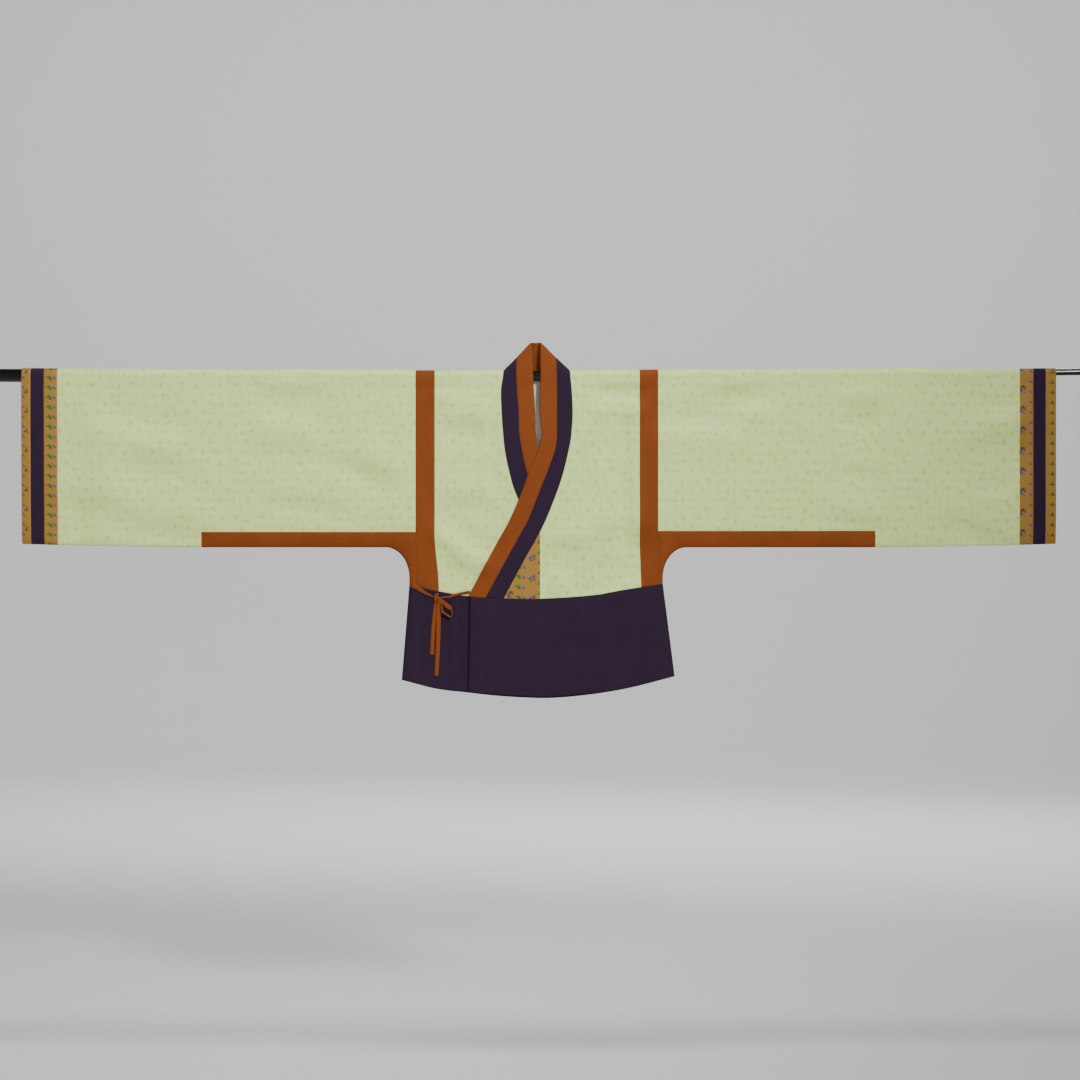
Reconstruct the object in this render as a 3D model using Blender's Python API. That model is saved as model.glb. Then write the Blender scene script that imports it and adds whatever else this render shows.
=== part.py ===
"""A hanfu jacket, the upper garment of a skirt set, hung flat by its sleeves on a telescopic rod.

The origin is on the rod's axis, at the middle of the jacket.
+X is the wearer's left, -Y is the front and +Z is up.
Places on a side are given as the distance out from the middle, and heights below the rod as a drop.
Every cloth piece is a wall thickened outwards from one shared inner face, which hangs from the rod in a
narrow catenary: as deep as the rod at the top and closing to nothing at the lower fold.
"""
import math
from collections import namedtuple

import bmesh
import bpy
import numpy as np
from mathutils import Vector

GAP = 0.0003
HALF_GAP = GAP / 2

# Rod: three telescoping lengths, tilted a little and bowed
RodLength = namedtuple("RodLength", "name start end radius")
ROD = (
    RodLength("rod_wide", -1.150, -0.310, 0.0140),
    RodLength("rod_middle", -0.310, 0.800, 0.0112),
    RodLength("rod_narrow", 0.800, 1.163, 0.0070),
)
ROD_RISE = 0.0032
ROD_BOW = 0.0040
ROD_SIDES = 20
ROD_RINGS_APART = 0.19
ROD_STEP_EASE = 0.060

# Cloth: colour as red, green and blue out of 255, and roughness
Cloth = namedtuple("Cloth", "colour roughness")
CREAM = Cloth((190, 196, 162), 0.75)
RUST = Cloth((138, 72, 28), 0.70)
PURPLE = Cloth((47, 36, 54), 0.75)
BROCADE = Cloth((152, 119, 68), 0.60)
ROD_PAINT = Cloth((20, 20, 21), 0.25)
CREAM_WALL = 0.0014
TRIM_WALL = 0.0016
WAIST_WALL = 0.0018
COLLAR_WALL = 0.0024
TIE_WALL = 0.0015

# Catenary of the hanging cloth: its tightness, and the height over which it opens to the rod's depth
CATENARY = 0.0030
FOLD_REACH = 0.350

# Body and sleeves, one row a side, as distances out and drops
Side = namedtuple(
    "Side",
    "word sign cuffs sleeve_seam strip_top band_out band_in band_drift waist hem hem_drop",
)
RIGHT = Side("right", -1, (1.0082, 1.0361, 1.0639, 1.0830), 0.7060, 0.3282, 0.2552, 0.2152, -0.0086,
             0.2672, 0.2830, 0.6385)
LEFT = Side("left", 1, (1.0156, 1.0439, 1.0697, 1.0912), 0.7119, 0.3261, 0.2545, 0.2159, 0.0031,
            0.2633, 0.2881, 0.6310)
SIDES = (RIGHT, LEFT)
SLEEVE_DROP = 0.3590
SLEEVE_RISE_FROM = 0.80
SLEEVE_RISE_TO = 1.083
SLEEVE_RISE = 0.0073
SLEEVE_COLUMNS_APART = 0.060
TOP_STEPS = 8
UNDERARM_WIDE = 0.0515
UNDERARM_TALL = 0.0660
UNDERARM_BEND = 40
DRIFT_FROM = 0.330
DRIFT_OVER = 0.120
CENTRE_FRONT = 0.0063
GUSSET_TIP = 0.0018

# Waist seam and front hem from the wearer's right to left
Level = namedtuple("Level", "x drop")
WAIST = (
    Level(-0.270, 0.4400), Level(-0.207, 0.4530), Level(-0.141, 0.4638), Level(-0.067, 0.4680),
    Level(0.006, 0.4687), Level(0.120, 0.4610), Level(0.180, 0.4505), Level(0.270, 0.4365),
)
HEM = (
    Level(-0.2850, 0.6388), Level(-0.2150, 0.6558), Level(-0.1436, 0.6634), Level(-0.0777, 0.6695),
    Level(0.0000, 0.6733), Level(0.0441, 0.6726), Level(0.1323, 0.6642), Level(0.2120, 0.6504),
    Level(0.2900, 0.6310),
)
BACK_HEM_LOWER = 0.0044
PANEL_EDGE = 0.030
PANEL_EDGE_STEPS = 6

# Collar: how far out its seam, the join of its two bands and its free edge lie at each drop
Strap = namedtuple("Strap", "drop seam join free")
COLLAR = {
    RIGHT: (
        Strap(0.000, 0.0708, 0.0438, 0.0089), Strap(0.030, 0.0752, 0.0420, 0.0071),
        Strap(0.078, 0.0739, 0.0382, 0.0044), Strap(0.114, 0.0714, 0.0378, 0.0032),
        Strap(0.156, 0.0672, 0.0315, -0.0036), Strap(0.198, 0.0588, 0.0220, -0.0147),
        Strap(0.240, 0.0470, 0.0070, -0.0298), Strap(0.303, 0.0190, -0.0189, -0.0567),
        Strap(0.345, -0.0032, -0.0420, -0.0798), Strap(0.387, -0.0273, -0.0651, -0.1029),
        Strap(0.470, -0.0715, -0.1100, -0.1470),
    ),
    LEFT: (
        Strap(0.000, 0.0695, 0.0420, 0.0082), Strap(0.030, 0.0725, 0.0420, 0.0076),
        Strap(0.080, 0.0746, 0.0420, 0.0067), Strap(0.114, 0.0725, 0.0420, 0.0095),
        Strap(0.135, 0.0704, 0.0415, 0.0088), Strap(0.156, 0.0662, 0.0378, 0.0036),
        Strap(0.198, 0.0563, 0.0231, -0.0147), Strap(0.240, 0.0430, 0.0063, -0.0298),
        Strap(0.303, 0.0179, -0.0189, -0.0567), Strap(0.345, -0.0032, -0.0420, -0.0798),
        Strap(0.387, -0.0273, -0.0651, -0.1029), Strap(0.470, -0.0715, -0.1100, -0.1470),
    ),
}
COLLAR_WIDTH = 0.062
STRAP_LEVELS = 20
BACK_LEVELS = 9

# Back neck: the seam circles the rod to this angle, and the collar stands up behind it
NECK_STATIONS = 12
NECK_BACK_ANGLE = math.radians(150)
CREST_OUT = {RIGHT: 0.0120, LEFT: 0.0070}
CREST_HEIGHT = 0.0692
NECK_BACK_HEIGHT = 0.0702
NECK_BACK_DEPTH = 0.0075

# Lap: the wearer's right front and its collar dip behind the left ones
DIP = 0.0035
DIP_RAMP = 0.030
DIP_STARTS = 0.060
DIP_FULL = 0.150
OUTER_EDGE = Level(-0.1394, 0.4647)
OUTER_EDGE_HEM = Level(-0.1436, 0.6634)
INNER_EDGE_OUT = -0.1400

# Recess: the inner waist panel sinks deeper beside the outer one's free edge, less wide at the hem
RECESS = 0.0045
RECESS_RAMP = 0.036
RECESS_RAMP_HEM = 0.018
RECESS_BACK = 0.080
RECESS_FROM = 0.4650
RECESS_OVER = 0.040

# Ties: path points as x, drop, width and how far the strip lies off the inner lap's cloth
Strip = namedtuple("Strip", "x drop width lift")
TIE_REST = 0.0024
TIES = {
    "tie_side": (
        Strip(-0.2622, 0.4400, 0.0096, 0.0004), Strip(-0.2500, 0.4463, 0.0092, 0.0004),
        Strip(-0.2380, 0.4543, 0.0068, 0.0010), Strip(-0.2260, 0.4606, 0.0042, 0.0018),
        Strip(-0.2185, 0.4640, 0.0036, 0.0024),
    ),
    "tie_collar": (
        Strip(-0.2020, 0.4664, 0.0032, 0.0022), Strip(-0.1862, 0.4670, 0.0040, 0.0012),
        Strip(-0.1725, 0.4635, 0.0046, 0.0006), Strip(-0.1560, 0.4582, 0.0046, 0.0010),
        Strip(-0.1408, 0.4548, 0.0044, 0.0016),
    ),
    "tie_tail_short": (
        Strip(-0.2134, 0.4750, 0.0074, 0.0002), Strip(-0.2145, 0.4860, 0.0080, 0.0002),
        Strip(-0.2172, 0.5110, 0.0084, 0.0002), Strip(-0.2193, 0.5512, 0.0084, 0.0004),
        Strip(-0.2203, 0.5859, 0.0088, 0.0008),
    ),
    "tie_tail_long": (
        Strip(-0.2060, 0.4750, 0.0078, 0.0024), Strip(-0.2062, 0.4878, 0.0092, 0.0024),
        Strip(-0.2069, 0.5200, 0.0098, 0.0024), Strip(-0.2076, 0.5512, 0.0097, 0.0022),
        Strip(-0.2090, 0.5880, 0.0092, 0.0014), Strip(-0.2113, 0.6302, 0.0088, 0.0014),
    ),
}
TIE_STEP = 0.008
KNOT_CENTRE = (-0.2101, 0.4660)
KNOT_SIZE = (0.0136, 0.0070, 0.0160)
KNOT_RIDGE = 0.05

# Half bow: its loop as x, drop, distance off the cloth, and how far the strip is turned edge-on
LoopPoint = namedtuple("LoopPoint", "x drop off turn")
LOOP = (
    LoopPoint(-0.2032, 0.4722, 0.0066, 8), LoopPoint(-0.1949, 0.4786, 0.0064, 10),
    LoopPoint(-0.1870, 0.4846, 0.0064, 12), LoopPoint(-0.1818, 0.4888, 0.0066, 18),
    LoopPoint(-0.1796, 0.4922, 0.0070, 66), LoopPoint(-0.1783, 0.4975, 0.0072, 80),
    LoopPoint(-0.1790, 0.5032, 0.0072, 80), LoopPoint(-0.1818, 0.5058, 0.0072, 78),
    LoopPoint(-0.1905, 0.5014, 0.0070, 76), LoopPoint(-0.1975, 0.4965, 0.0068, 76),
    LoopPoint(-0.1996, 0.4900, 0.0066, 76), LoopPoint(-0.1996, 0.4830, 0.0064, 78),
)
LOOP_WIDTH = 0.0080
LOOP_POINTS = 32


def ease(share):
    """A smooth step from 0 to 1."""
    share = min(max(share, 0.0), 1.0)
    return share * share * (3 - 2 * share)


def mix(a, b, share):
    return a + (b - a) * share


def smooth(table, at, column, key=0):
    """A smooth curve through a table's rows: one column's value where the key column is at."""
    last = len(table) - 1
    i = next((k for k in range(1, last) if at < table[k][key]), last) - 1

    def slope(k):
        low, high = table[max(k - 1, 0)], table[min(k + 1, last)]
        return (high[column] - low[column]) / (high[key] - low[key])

    here, after = table[i], table[i + 1]
    span = after[key] - here[key]
    t = (at - here[key]) / span
    return (
        (2 * t**3 - 3 * t**2 + 1) * here[column]
        + (t**3 - 2 * t**2 + t) * span * slope(i)
        + (3 * t**2 - 2 * t**3) * after[column]
        + (t**3 - t**2) * span * slope(i + 1)
    )


def spread(start, end, spacing):
    """Even steps from start to end, with the rod's steps and the cloth's ease past them put in."""
    count = max(1, round(abs(end - start) / spacing))
    places = [mix(start, end, k / count) for k in range(count + 1)]
    low, high = sorted((start, end))
    for length in ROD[1:]:
        for extra in (length.start, length.start + ROD_STEP_EASE / 2, length.start + ROD_STEP_EASE):
            if low < extra < high:
                places.append(extra)
    return sorted(places, reverse=end < start)


# The rod and the hang of the cloth


def axis(x):
    """The height of the rod's axis."""
    return ROD_RISE * x + ROD_BOW * x * x


def cloth_radius(x):
    """The inner half depth of the cloth at the rod, eased past each step down of the rod."""
    radius = ROD[0].radius
    for wide, narrow in zip(ROD, ROD[1:]):
        radius -= (wide.radius - narrow.radius) * ease((x - narrow.start) / ROD_STEP_EASE)
    return radius + GAP


def sleeve_bottom(out):
    """The drop of the sleeve's lower fold, which rises a little towards the cuff."""
    share = max(0.0, out - SLEEVE_RISE_FROM) / (SLEEVE_RISE_TO - SLEEVE_RISE_FROM)
    return SLEEVE_DROP - SLEEVE_RISE * share**1.2


def underarm(side, degrees):
    """A point on the rounded underarm, from the sleeve at 0 degrees to the body's side at 90."""
    turn = math.radians(degrees)
    return (
        side.waist + UNDERARM_WIDE * (1 - math.sin(turn)),
        SLEEVE_DROP + UNDERARM_TALL * (1 - math.cos(turn)),
    )


def side_out(side, drop):
    """How far out the body's side fold lies, straight below the underarm and flared below the waist."""
    top = smooth(WAIST, side.sign * side.waist, 1)
    return mix(side.waist, side.hem, max(0.0, drop - top) / (side.hem_drop - top))


def fold_line(side):
    """The fold along the sleeve, round the underarm and down the side, as (x, z) points."""
    line = [(out, sleeve_bottom(out)) for out in np.linspace(side.cuffs[-1], SLEEVE_RISE_FROM, 7)]
    line += [underarm(side, degrees) for degrees in range(0, 91, 5)]
    line += [(side_out(side, drop), drop) for drop in (smooth(WAIST, side.sign * side.waist, 1), 0.70)]
    return [(side.sign * out, -drop) for out, drop in line]


def fold_segments():
    """Both fold lines as arrays: segment starts, segment runs, and the direction into the cloth."""
    starts, runs, inward = [], [], []
    for side in SIDES:
        line = np.array(fold_line(side))
        run = np.diff(line, axis=0)
        starts.append(line[:-1])
        runs.append(run)
        turned = side.sign * np.column_stack((run[:, 1], -run[:, 0]))
        inward.append(turned / np.linalg.norm(turned, axis=1)[:, None])
    return np.vstack(starts), np.vstack(runs), np.vstack(inward)


FOLD_STARTS, FOLD_RUNS, FOLD_INWARD = fold_segments()
CATENARY_TOP = math.acosh(1 + FOLD_REACH / CATENARY)


def fold_distance(x, z):
    """How far a point lies from the nearest fold, and the direction away from that fold."""
    from_start = np.array((x, z)) - FOLD_STARTS
    share = np.clip((from_start * FOLD_RUNS).sum(1) / (FOLD_RUNS**2).sum(1), 0, 1)
    off = from_start - share[:, None] * FOLD_RUNS
    far = np.hypot(off[:, 0], off[:, 1])
    nearest = far.argmin()
    if far[nearest] < 0.00001:
        return 0.0, FOLD_INWARD[nearest]
    return float(far[nearest]), off[nearest] / far[nearest]


def hang(x, drop, face, behind=0.0):
    """A point and its outward normal on the cloth's inner face, at the front (face -1) or back (1)."""
    away, inward = fold_distance(x, -drop)
    radius = cloth_radius(x)
    if away >= FOLD_REACH:
        return Vector((x, face * (radius - behind), -drop)), Vector((0, face, 0))
    depth = radius * math.acosh(1 + away / CATENARY) / CATENARY_TOP
    openness = math.sqrt((1 + away / CATENARY) ** 2 - 1) * CATENARY * CATENARY_TOP / radius
    normal = Vector((-inward[0], face * openness, -inward[1])).normalized()
    return Vector((x, face * max(depth - behind, HALF_GAP), -drop)), normal


def over_rod(x, angle):
    """A point and its normal where the cloth lies over the rod: 0 is the front and 180 degrees the back."""
    radius = cloth_radius(x)
    normal = Vector((0, -math.cos(angle), math.sin(angle)))
    return Vector((x, 0, axis(x))) + radius * normal, normal


def catenary_steps(low, high, count):
    """Heights above the fold from low to high, closer together near the fold where the cloth bends."""
    first, last = (math.acosh(1 + h / CATENARY) for h in (low, high))
    return [CATENARY * (math.cosh(mix(first, last, k / count)) - 1) for k in range(count + 1)]


def outer_edge(drop):
    """Where the outer lap's free edge lies below the waist seam."""
    share = (drop - OUTER_EDGE.drop) / (OUTER_EDGE_HEM.drop - OUTER_EDGE.drop)
    return mix(OUTER_EDGE.x, OUTER_EDGE_HEM.x, share)


def dip(side, x, drop):
    """How far the inner lap lies behind the outer one, easing in before the outer lap's free edge."""
    if side is LEFT:
        return 0.0
    edge = smooth(COLLAR[LEFT], max(drop, 0.0), 3) if drop < OUTER_EDGE.drop else outer_edge(drop)
    lapped = DIP * ease((x - edge) / DIP_RAMP + 1) * ease((drop - DIP_STARTS) / (DIP_FULL - DIP_STARTS))
    down = (drop - RECESS_FROM) / (OUTER_EDGE_HEM.drop - RECESS_FROM)
    ramp = mix(RECESS_RAMP, RECESS_RAMP_HEM, down)
    sunk = RECESS * ease((x - edge) / ramp + 1) * (1 - ease((x - edge) / RECESS_BACK))
    return lapped + sunk * ease((drop - RECESS_FROM) / RECESS_OVER)


# Making solids


def paint(cloth):
    """A plain material for one object, from its cloth's colour."""
    material = bpy.data.materials.new("cloth")
    material.use_nodes = True
    shader = material.node_tree.nodes["Principled BSDF"]
    linear = [(c / 255 / 12.92 if c < 11 else ((c / 255 + 0.055) / 1.055) ** 2.4) for c in cloth.colour]
    shader.inputs["Base Color"].default_value = (*linear, 1.0)
    shader.inputs["Roughness"].default_value = cloth.roughness
    shader.inputs["Metallic"].default_value = 0.0
    return material


def place(name, mesh, cloth):
    """A mesh as a smooth-shaded object with its own material."""
    bmesh.ops.recalc_face_normals(mesh, faces=mesh.faces)
    data = bpy.data.meshes.new(name)
    mesh.to_mesh(data)
    mesh.free()
    data.shade_smooth()
    data.set_sharp_from_angle(angle=math.radians(35))
    data.materials.append(paint(cloth))
    bpy.context.collection.objects.link(bpy.data.objects.new(name, data))


def wall(name, cloth, thickness, rows, ring=False):
    """A piece of cloth from rows of inner-face points and normals. A ring closes on its first row."""
    mesh = bmesh.new()
    inner = [[mesh.verts.new(point) for point, _ in row] for row in rows]
    outer = [[mesh.verts.new(point + normal * thickness) for point, normal in row] for row in rows]
    columns = range(len(rows[0]) - 1)
    for i in range(len(rows) - (not ring)):
        k = (i + 1) % len(rows)
        for j in columns:
            for face in (inner, outer):
                mesh.faces.new((face[i][j], face[k][j], face[k][j + 1], face[i][j + 1]))
        for j in (0, -1):
            mesh.faces.new((inner[i][j], inner[k][j], outer[k][j], outer[i][j]))
    if not ring:
        for i in (0, -1):
            for j in columns:
                mesh.faces.new((inner[i][j], inner[i][j + 1], outer[i][j + 1], outer[i][j]))
    place(name, mesh, cloth)


def surface_normals(rows):
    """Normals of a grid of points, by its neighbours, on the left of the rows' run seen from outside."""
    last, end = len(rows) - 1, len(rows[0]) - 1
    normals = []
    for i, row in enumerate(rows):
        line = []
        for j in range(len(row)):
            run = rows[min(i + 1, last)][j] - rows[max(i - 1, 0)][j]
            across = row[min(j + 1, end)] - row[max(j - 1, 0)]
            line.append(across.cross(run).normalized())
        normals.append(line)
    return normals


# Rod


def build_rod(length, starts_at_step):
    """One length of the rod, with flat round ends that face along X."""
    start = length.start + (GAP if starts_at_step else 0)
    mesh = bmesh.new()
    rings = []
    for x in spread(start, length.end, ROD_RINGS_APART):
        ring = []
        for k in range(ROD_SIDES):
            turn = 2 * math.pi * k / ROD_SIDES
            height = axis(x) + length.radius * math.sin(turn)
            ring.append(mesh.verts.new((x, length.radius * math.cos(turn), height)))
        rings.append(ring)
    for here, after in zip(rings, rings[1:]):
        for k in range(ROD_SIDES):
            m = (k + 1) % ROD_SIDES
            mesh.faces.new((here[k], here[m], after[m], after[k]))
    mesh.faces.new(rings[0])
    mesh.faces.new(rings[-1])
    place(length.name, mesh, ROD_PAINT)


# Sleeves and cuffs


def over_the_top(xs, low, front_steps):
    """Rows of a piece that hangs over the rod, each from low above the fold at the front to the back."""
    rows = []
    for x in xs:
        bottom = sleeve_bottom(abs(x))
        heights = catenary_steps(low(x), bottom + axis(x), front_steps)
        column = [hang(x, bottom - h, -1) for h in heights[:-1]]
        column += [over_rod(x, math.pi * k / TOP_STEPS) for k in range(TOP_STEPS + 1)]
        column += [hang(x, bottom - h, 1) for h in reversed(heights[:-1])]
        rows.append(column)
    return [list(row) for row in zip(*rows)]


def build_tube(name, cloth, thickness, side, start, end):
    """A closed stretch of the sleeve between two distances out: a sleeve end or a cuff band."""
    xs = spread(side.sign * (start + HALF_GAP), side.sign * (end - HALF_GAP), SLEEVE_COLUMNS_APART)
    rows = over_the_top(xs, lambda x: 0.0, 9)
    wall(name, cloth, thickness, rows[:-1], ring=True)


def build_sleeve(side):
    """The sleeve from the armhole band to the sleeve seam, open below along the underarm strip."""
    start, end = side.band_out + HALF_GAP, side.sleeve_seam - HALF_GAP
    xs = spread(side.sign * start, side.sign * end, SLEEVE_COLUMNS_APART)
    seam = side.strip_top - HALF_GAP
    rows = over_the_top(xs, lambda x: sleeve_bottom(abs(x)) - seam, 7)
    wall("sleeve_" + side.word, CREAM, CREAM_WALL, rows)


def build_underarm_strip(side):
    """The strip folded under the sleeve, which turns down round the underarm to the waist."""
    top, edge = side.strip_top + HALF_GAP, side.band_out + HALF_GAP
    arm_start = underarm(side, 0)[0]
    pairs = [
        ((out, top), (out, sleeve_bottom(out)))
        for out in np.linspace(side.sleeve_seam - HALF_GAP, arm_start, 8)[:-1]
    ]
    for degrees in range(0, 91, 10):
        if degrees <= UNDERARM_BEND:
            inner = (mix(arm_start, edge, degrees / UNDERARM_BEND), top)
        else:
            share = (degrees - UNDERARM_BEND) / (90 - UNDERARM_BEND)
            inner = (edge, mix(top, underarm(side, 90)[1], share))
        pairs.append((inner, underarm(side, degrees)))
    waist_in, waist_out = (smooth(WAIST, side.sign * out, 1) - HALF_GAP for out in (edge, side.waist))
    pairs.append(((edge, waist_in), (side.waist, waist_out)))
    rows = []
    for inner, outer in pairs:
        long = math.hypot(inner[0] - outer[0], inner[1] - outer[1])
        shares = [h / long for h in catenary_steps(0, long, 6)]
        path = [(side.sign * mix(outer[0], inner[0], s), mix(outer[1], inner[1], s)) for s in shares]
        front = [hang(x, drop, -1) for x, drop in reversed(path)]
        back = [hang(x, drop, 1) for x, drop in path[1:]]
        rows.append(front + back)
    wall("underarm_strip_" + side.word, RUST, TRIM_WALL, rows)


# Body and armhole bands


def level(x, share):
    """The drop at a share of the way from the rod's axis down to the waist seam."""
    return mix(-axis(x), smooth(WAIST, x, 1) - HALF_GAP, share)


def band_inner(side, drop):
    """How far out the armhole band's inner seam lies, which drifts near the waist."""
    return side.band_in + side.band_drift * ease((drop - DRIFT_FROM) / DRIFT_OVER)


def strap_edge(side, column, drop):
    return smooth(COLLAR[side], max(drop, 0.0), column)


def at_level(side, share, edge):
    """Where an edge, given as a function of the drop, crosses a level: (out, drop)."""
    drop = share * SLEEVE_DROP
    for _ in range(6):
        out = edge(drop)
        drop = level(side.sign * out, share)
    return out, drop


def front_edge(side, drop):
    """The body's front edge: the collar's seam, and below their crossing the centre-front seam."""
    return max(strap_edge(side, 1, drop), CENTRE_FRONT)


def neck_seam(side, t):
    """The collar's seam over the rod, as (out, angle), from the front at t 0 to the back's middle at 1."""
    turn = math.pi / 2 * t * t
    return strap_edge(side, 1, 0.0) * math.cos(turn), NECK_BACK_ANGLE * math.sqrt(math.sin(turn))


def between(side, share, inner_edge, outer_edge, columns, face):
    """A row of points at a level, from an inner to an outer edge."""
    near, far = (at_level(side, share, edge)[0] for edge in (inner_edge, outer_edge))
    row = []
    for k in range(columns + 1):
        x = side.sign * mix(near, far, k / columns)
        drop = level(x, share)
        row.append(hang(x, drop, face, dip(side, x, drop) if face < 0 else 0.0))
    return row


def shares_down(count):
    return [k / count for k in range(count + 1)]


def build_body(side, columns=6):
    """Half the body in one piece over the shoulder, from the front waist to the back waist."""
    def outer(drop):
        return band_inner(side, drop) - HALF_GAP

    rows = [
        between(side, share, lambda drop: front_edge(side, drop), outer, columns, -1)
        for share in reversed(shares_down(STRAP_LEVELS))
    ]
    seams = [neck_seam(side, k / NECK_STATIONS) for k in range(1, NECK_STATIONS)]
    seams += [(HALF_GAP, mix(NECK_BACK_ANGLE, math.pi, k / 2)) for k in range(3)]
    for out, angle in seams:
        line = [side.sign * mix(out, outer(0), k / columns) for k in range(columns + 1)]
        rows.append([over_rod(x, angle) for x in line])
    for share in shares_down(BACK_LEVELS)[1:]:
        rows.append(between(side, share, lambda drop: HALF_GAP, lambda drop: outer(0), columns, 1))
    wall("body_" + side.word, CREAM, CREAM_WALL, rows)


def build_armhole_band(side):
    """The band over the shoulder from the front waist to the back waist."""
    def inner(drop):
        return band_inner(side, drop) + HALF_GAP

    def outer(drop):
        return side.band_out - HALF_GAP

    rows = [between(side, share, inner, outer, 2, -1) for share in reversed(shares_down(STRAP_LEVELS))]
    across = [side.sign * mix(inner(0), outer(0), k / 2) for k in range(3)]
    for turn in range(1, TOP_STEPS + 1):
        rows.append([over_rod(x, math.pi * turn / TOP_STEPS) for x in across])
    rows += [
        between(side, share, lambda drop: inner(0), outer, 2, 1) for share in shares_down(BACK_LEVELS)[1:]
    ]
    wall("armhole_band_" + side.word, RUST, TRIM_WALL, rows)


def gusset_apex(side, seam):
    """The level at which the collar's seam has left the centre front by the width of the gusset's tip."""
    low, high = 0.0, 1.0
    for _ in range(20):
        middle = (low + high) / 2
        if at_level(side, middle, seam)[0] > CENTRE_FRONT - GUSSET_TIP:
            low = middle
        else:
            high = middle
    return middle


def build_gusset(side):
    """The piece that carries the lap across, between the centre-front seam and the collar."""
    def seam(drop):
        return strap_edge(side, 1, drop)

    def centre(drop):
        return CENTRE_FRONT - GAP

    apex = gusset_apex(side, seam)
    nearest = apex + 0.1 / STRAP_LEVELS
    shares = [apex] + [share for share in shares_down(STRAP_LEVELS) if share > nearest]
    rows = [between(side, share, seam, centre, 3, -1) for share in shares]
    wall("gusset_" + side.word, BROCADE, TRIM_WALL, rows)


# Collar


def strap_row(side, share, fractions):
    """A line across a strap of the collar at a level, from its seam to its free edge."""
    row = []
    for fraction in fractions:
        def place_across(drop, fraction=fraction):
            seam, join, free = (strap_edge(side, column, drop) for column in (1, 2, 3))
            if fraction <= 0.5:
                return mix(seam - GAP, join, fraction * 2)
            return mix(join, free, fraction * 2 - 1)

        out, drop = at_level(side, share, place_across)
        row.append(hang(side.sign * out, drop, -1, dip(side, side.sign * out, drop)))
    return row


def neck_free_edge(side, t):
    """The collar's free edge over the neck: up the front, over the crest and along the back."""
    free = strap_edge(side, 3, 0.0)
    crest = math.sqrt(math.asin((math.pi / 2 / NECK_BACK_ANGLE) ** 2) / (math.pi / 2))
    out = CREST_OUT[side]
    if t <= crest:
        share = t / crest
        height = CREST_HEIGHT * (1 - (1 - share) ** 1.5)
        depth = -cloth_radius(0) * math.sqrt(max(0.0, 1 - (height / CREST_HEIGHT) ** 3))
        return Vector((side.sign * mix(free, out, share), depth, height))
    share = (t - crest) / (1 - crest)
    depth = NECK_BACK_DEPTH * math.sqrt(1 - (1 - share) ** 2)
    return Vector((side.sign * out * (1 - share), depth, mix(CREST_HEIGHT, NECK_BACK_HEIGHT, share)))


def neck_row(side, t, fractions):
    """A line across the collar where it turns over the shoulder and stands behind the neck."""
    out, angle = neck_seam(side, t)
    seam, radial = over_rod(side.sign * out, angle)
    free = neck_free_edge(side, t)
    seam = seam + (free - seam).normalized() * GAP
    seam_out, join_out, free_out = (strap_edge(side, column, 0.0) for column in (1, 2, 3))
    join = mix((seam_out - join_out) / (seam_out - free_out), 0.5, t)
    points = []
    for fraction in fractions:
        share = fraction * 2 * join if fraction <= 0.5 else mix(join, 1, fraction * 2 - 1)
        points.append(seam.lerp(free, share))
    return points, radial


def build_collar_band(name, cloth, fractions):
    """One of the collar's two bands, in one length from waist to waist round the neck."""
    rows = [strap_row(RIGHT, share, fractions) for share in reversed(shares_down(STRAP_LEVELS))]
    first = len(rows)
    up, down = range(1, NECK_STATIONS + 1), reversed(range(1, NECK_STATIONS))
    for side, steps in ((RIGHT, up), (LEFT, down)):
        for k in steps:
            points, radial = neck_row(side, k / NECK_STATIONS, fractions)
            rows.append([(point, radial) for point in points])
    last = len(rows)
    rows += [strap_row(LEFT, share, fractions) for share in shares_down(STRAP_LEVELS)]
    bent = surface_normals([[point for point, _ in row] for row in rows])
    for i in range(first, last):
        keep = 1 if fractions[0] == 0 else 0
        rows[i] = rows[i][:keep] + [(rows[i][j][0], bent[i][j]) for j in range(keep, len(fractions))]
    wall(name, cloth, COLLAR_WALL, rows)


def build_collar():
    half = HALF_GAP / COLLAR_WIDTH
    build_collar_band("collar_seam_band", PURPLE, (0, 0.25, 0.5 - half))
    build_collar_band("collar_edge_band", RUST, (0.5 + half, 0.75, 1))


# Waist panel


def waist_rows(side, free_edge, face, hem_lower, levels=4, columns=15):
    """Rows down the waist panel, from the side fold towards the middle."""
    near_fold = catenary_steps(0, PANEL_EDGE, PANEL_EDGE_STEPS)
    rows = []
    for share in shares_down(levels):
        row = []
        for k in range(columns + PANEL_EDGE_STEPS + 1):
            def place_across(drop, k=k):
                fold = side_out(side, drop)
                if k <= PANEL_EDGE_STEPS:
                    return fold - near_fold[k]
                return mix(fold - PANEL_EDGE, free_edge(drop), (k - PANEL_EDGE_STEPS) / columns)

            drop = mix(OUTER_EDGE.drop, OUTER_EDGE_HEM.drop, share)
            for _ in range(6):
                x = side.sign * place_across(drop)
                lower = hem_lower * (1 - (x / side.hem) ** 2)
                drop = mix(smooth(WAIST, x, 1) + HALF_GAP, smooth(HEM, x, 1) + lower, share)
            row.append(hang(x, drop, face, dip(side, x, drop) if face < 0 else 0.0))
        rows.append(row)
    return rows


def build_waist_panel():
    wall("waist_front_outer", PURPLE, WAIST_WALL, waist_rows(LEFT, outer_edge, -1, 0.0))
    wall("waist_front_inner", PURPLE, WAIST_WALL, waist_rows(RIGHT, lambda drop: INNER_EDGE_OUT, -1, 0.0))
    right = waist_rows(RIGHT, lambda drop: 0.0, 1, BACK_HEM_LOWER, columns=9)
    left = waist_rows(LEFT, lambda drop: 0.0, 1, BACK_HEM_LOWER, columns=9)
    rows = [a + list(reversed(b))[1:] for a, b in zip(right, left)]
    wall("waist_back", PURPLE, WAIST_WALL, rows)


# Ties


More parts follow.
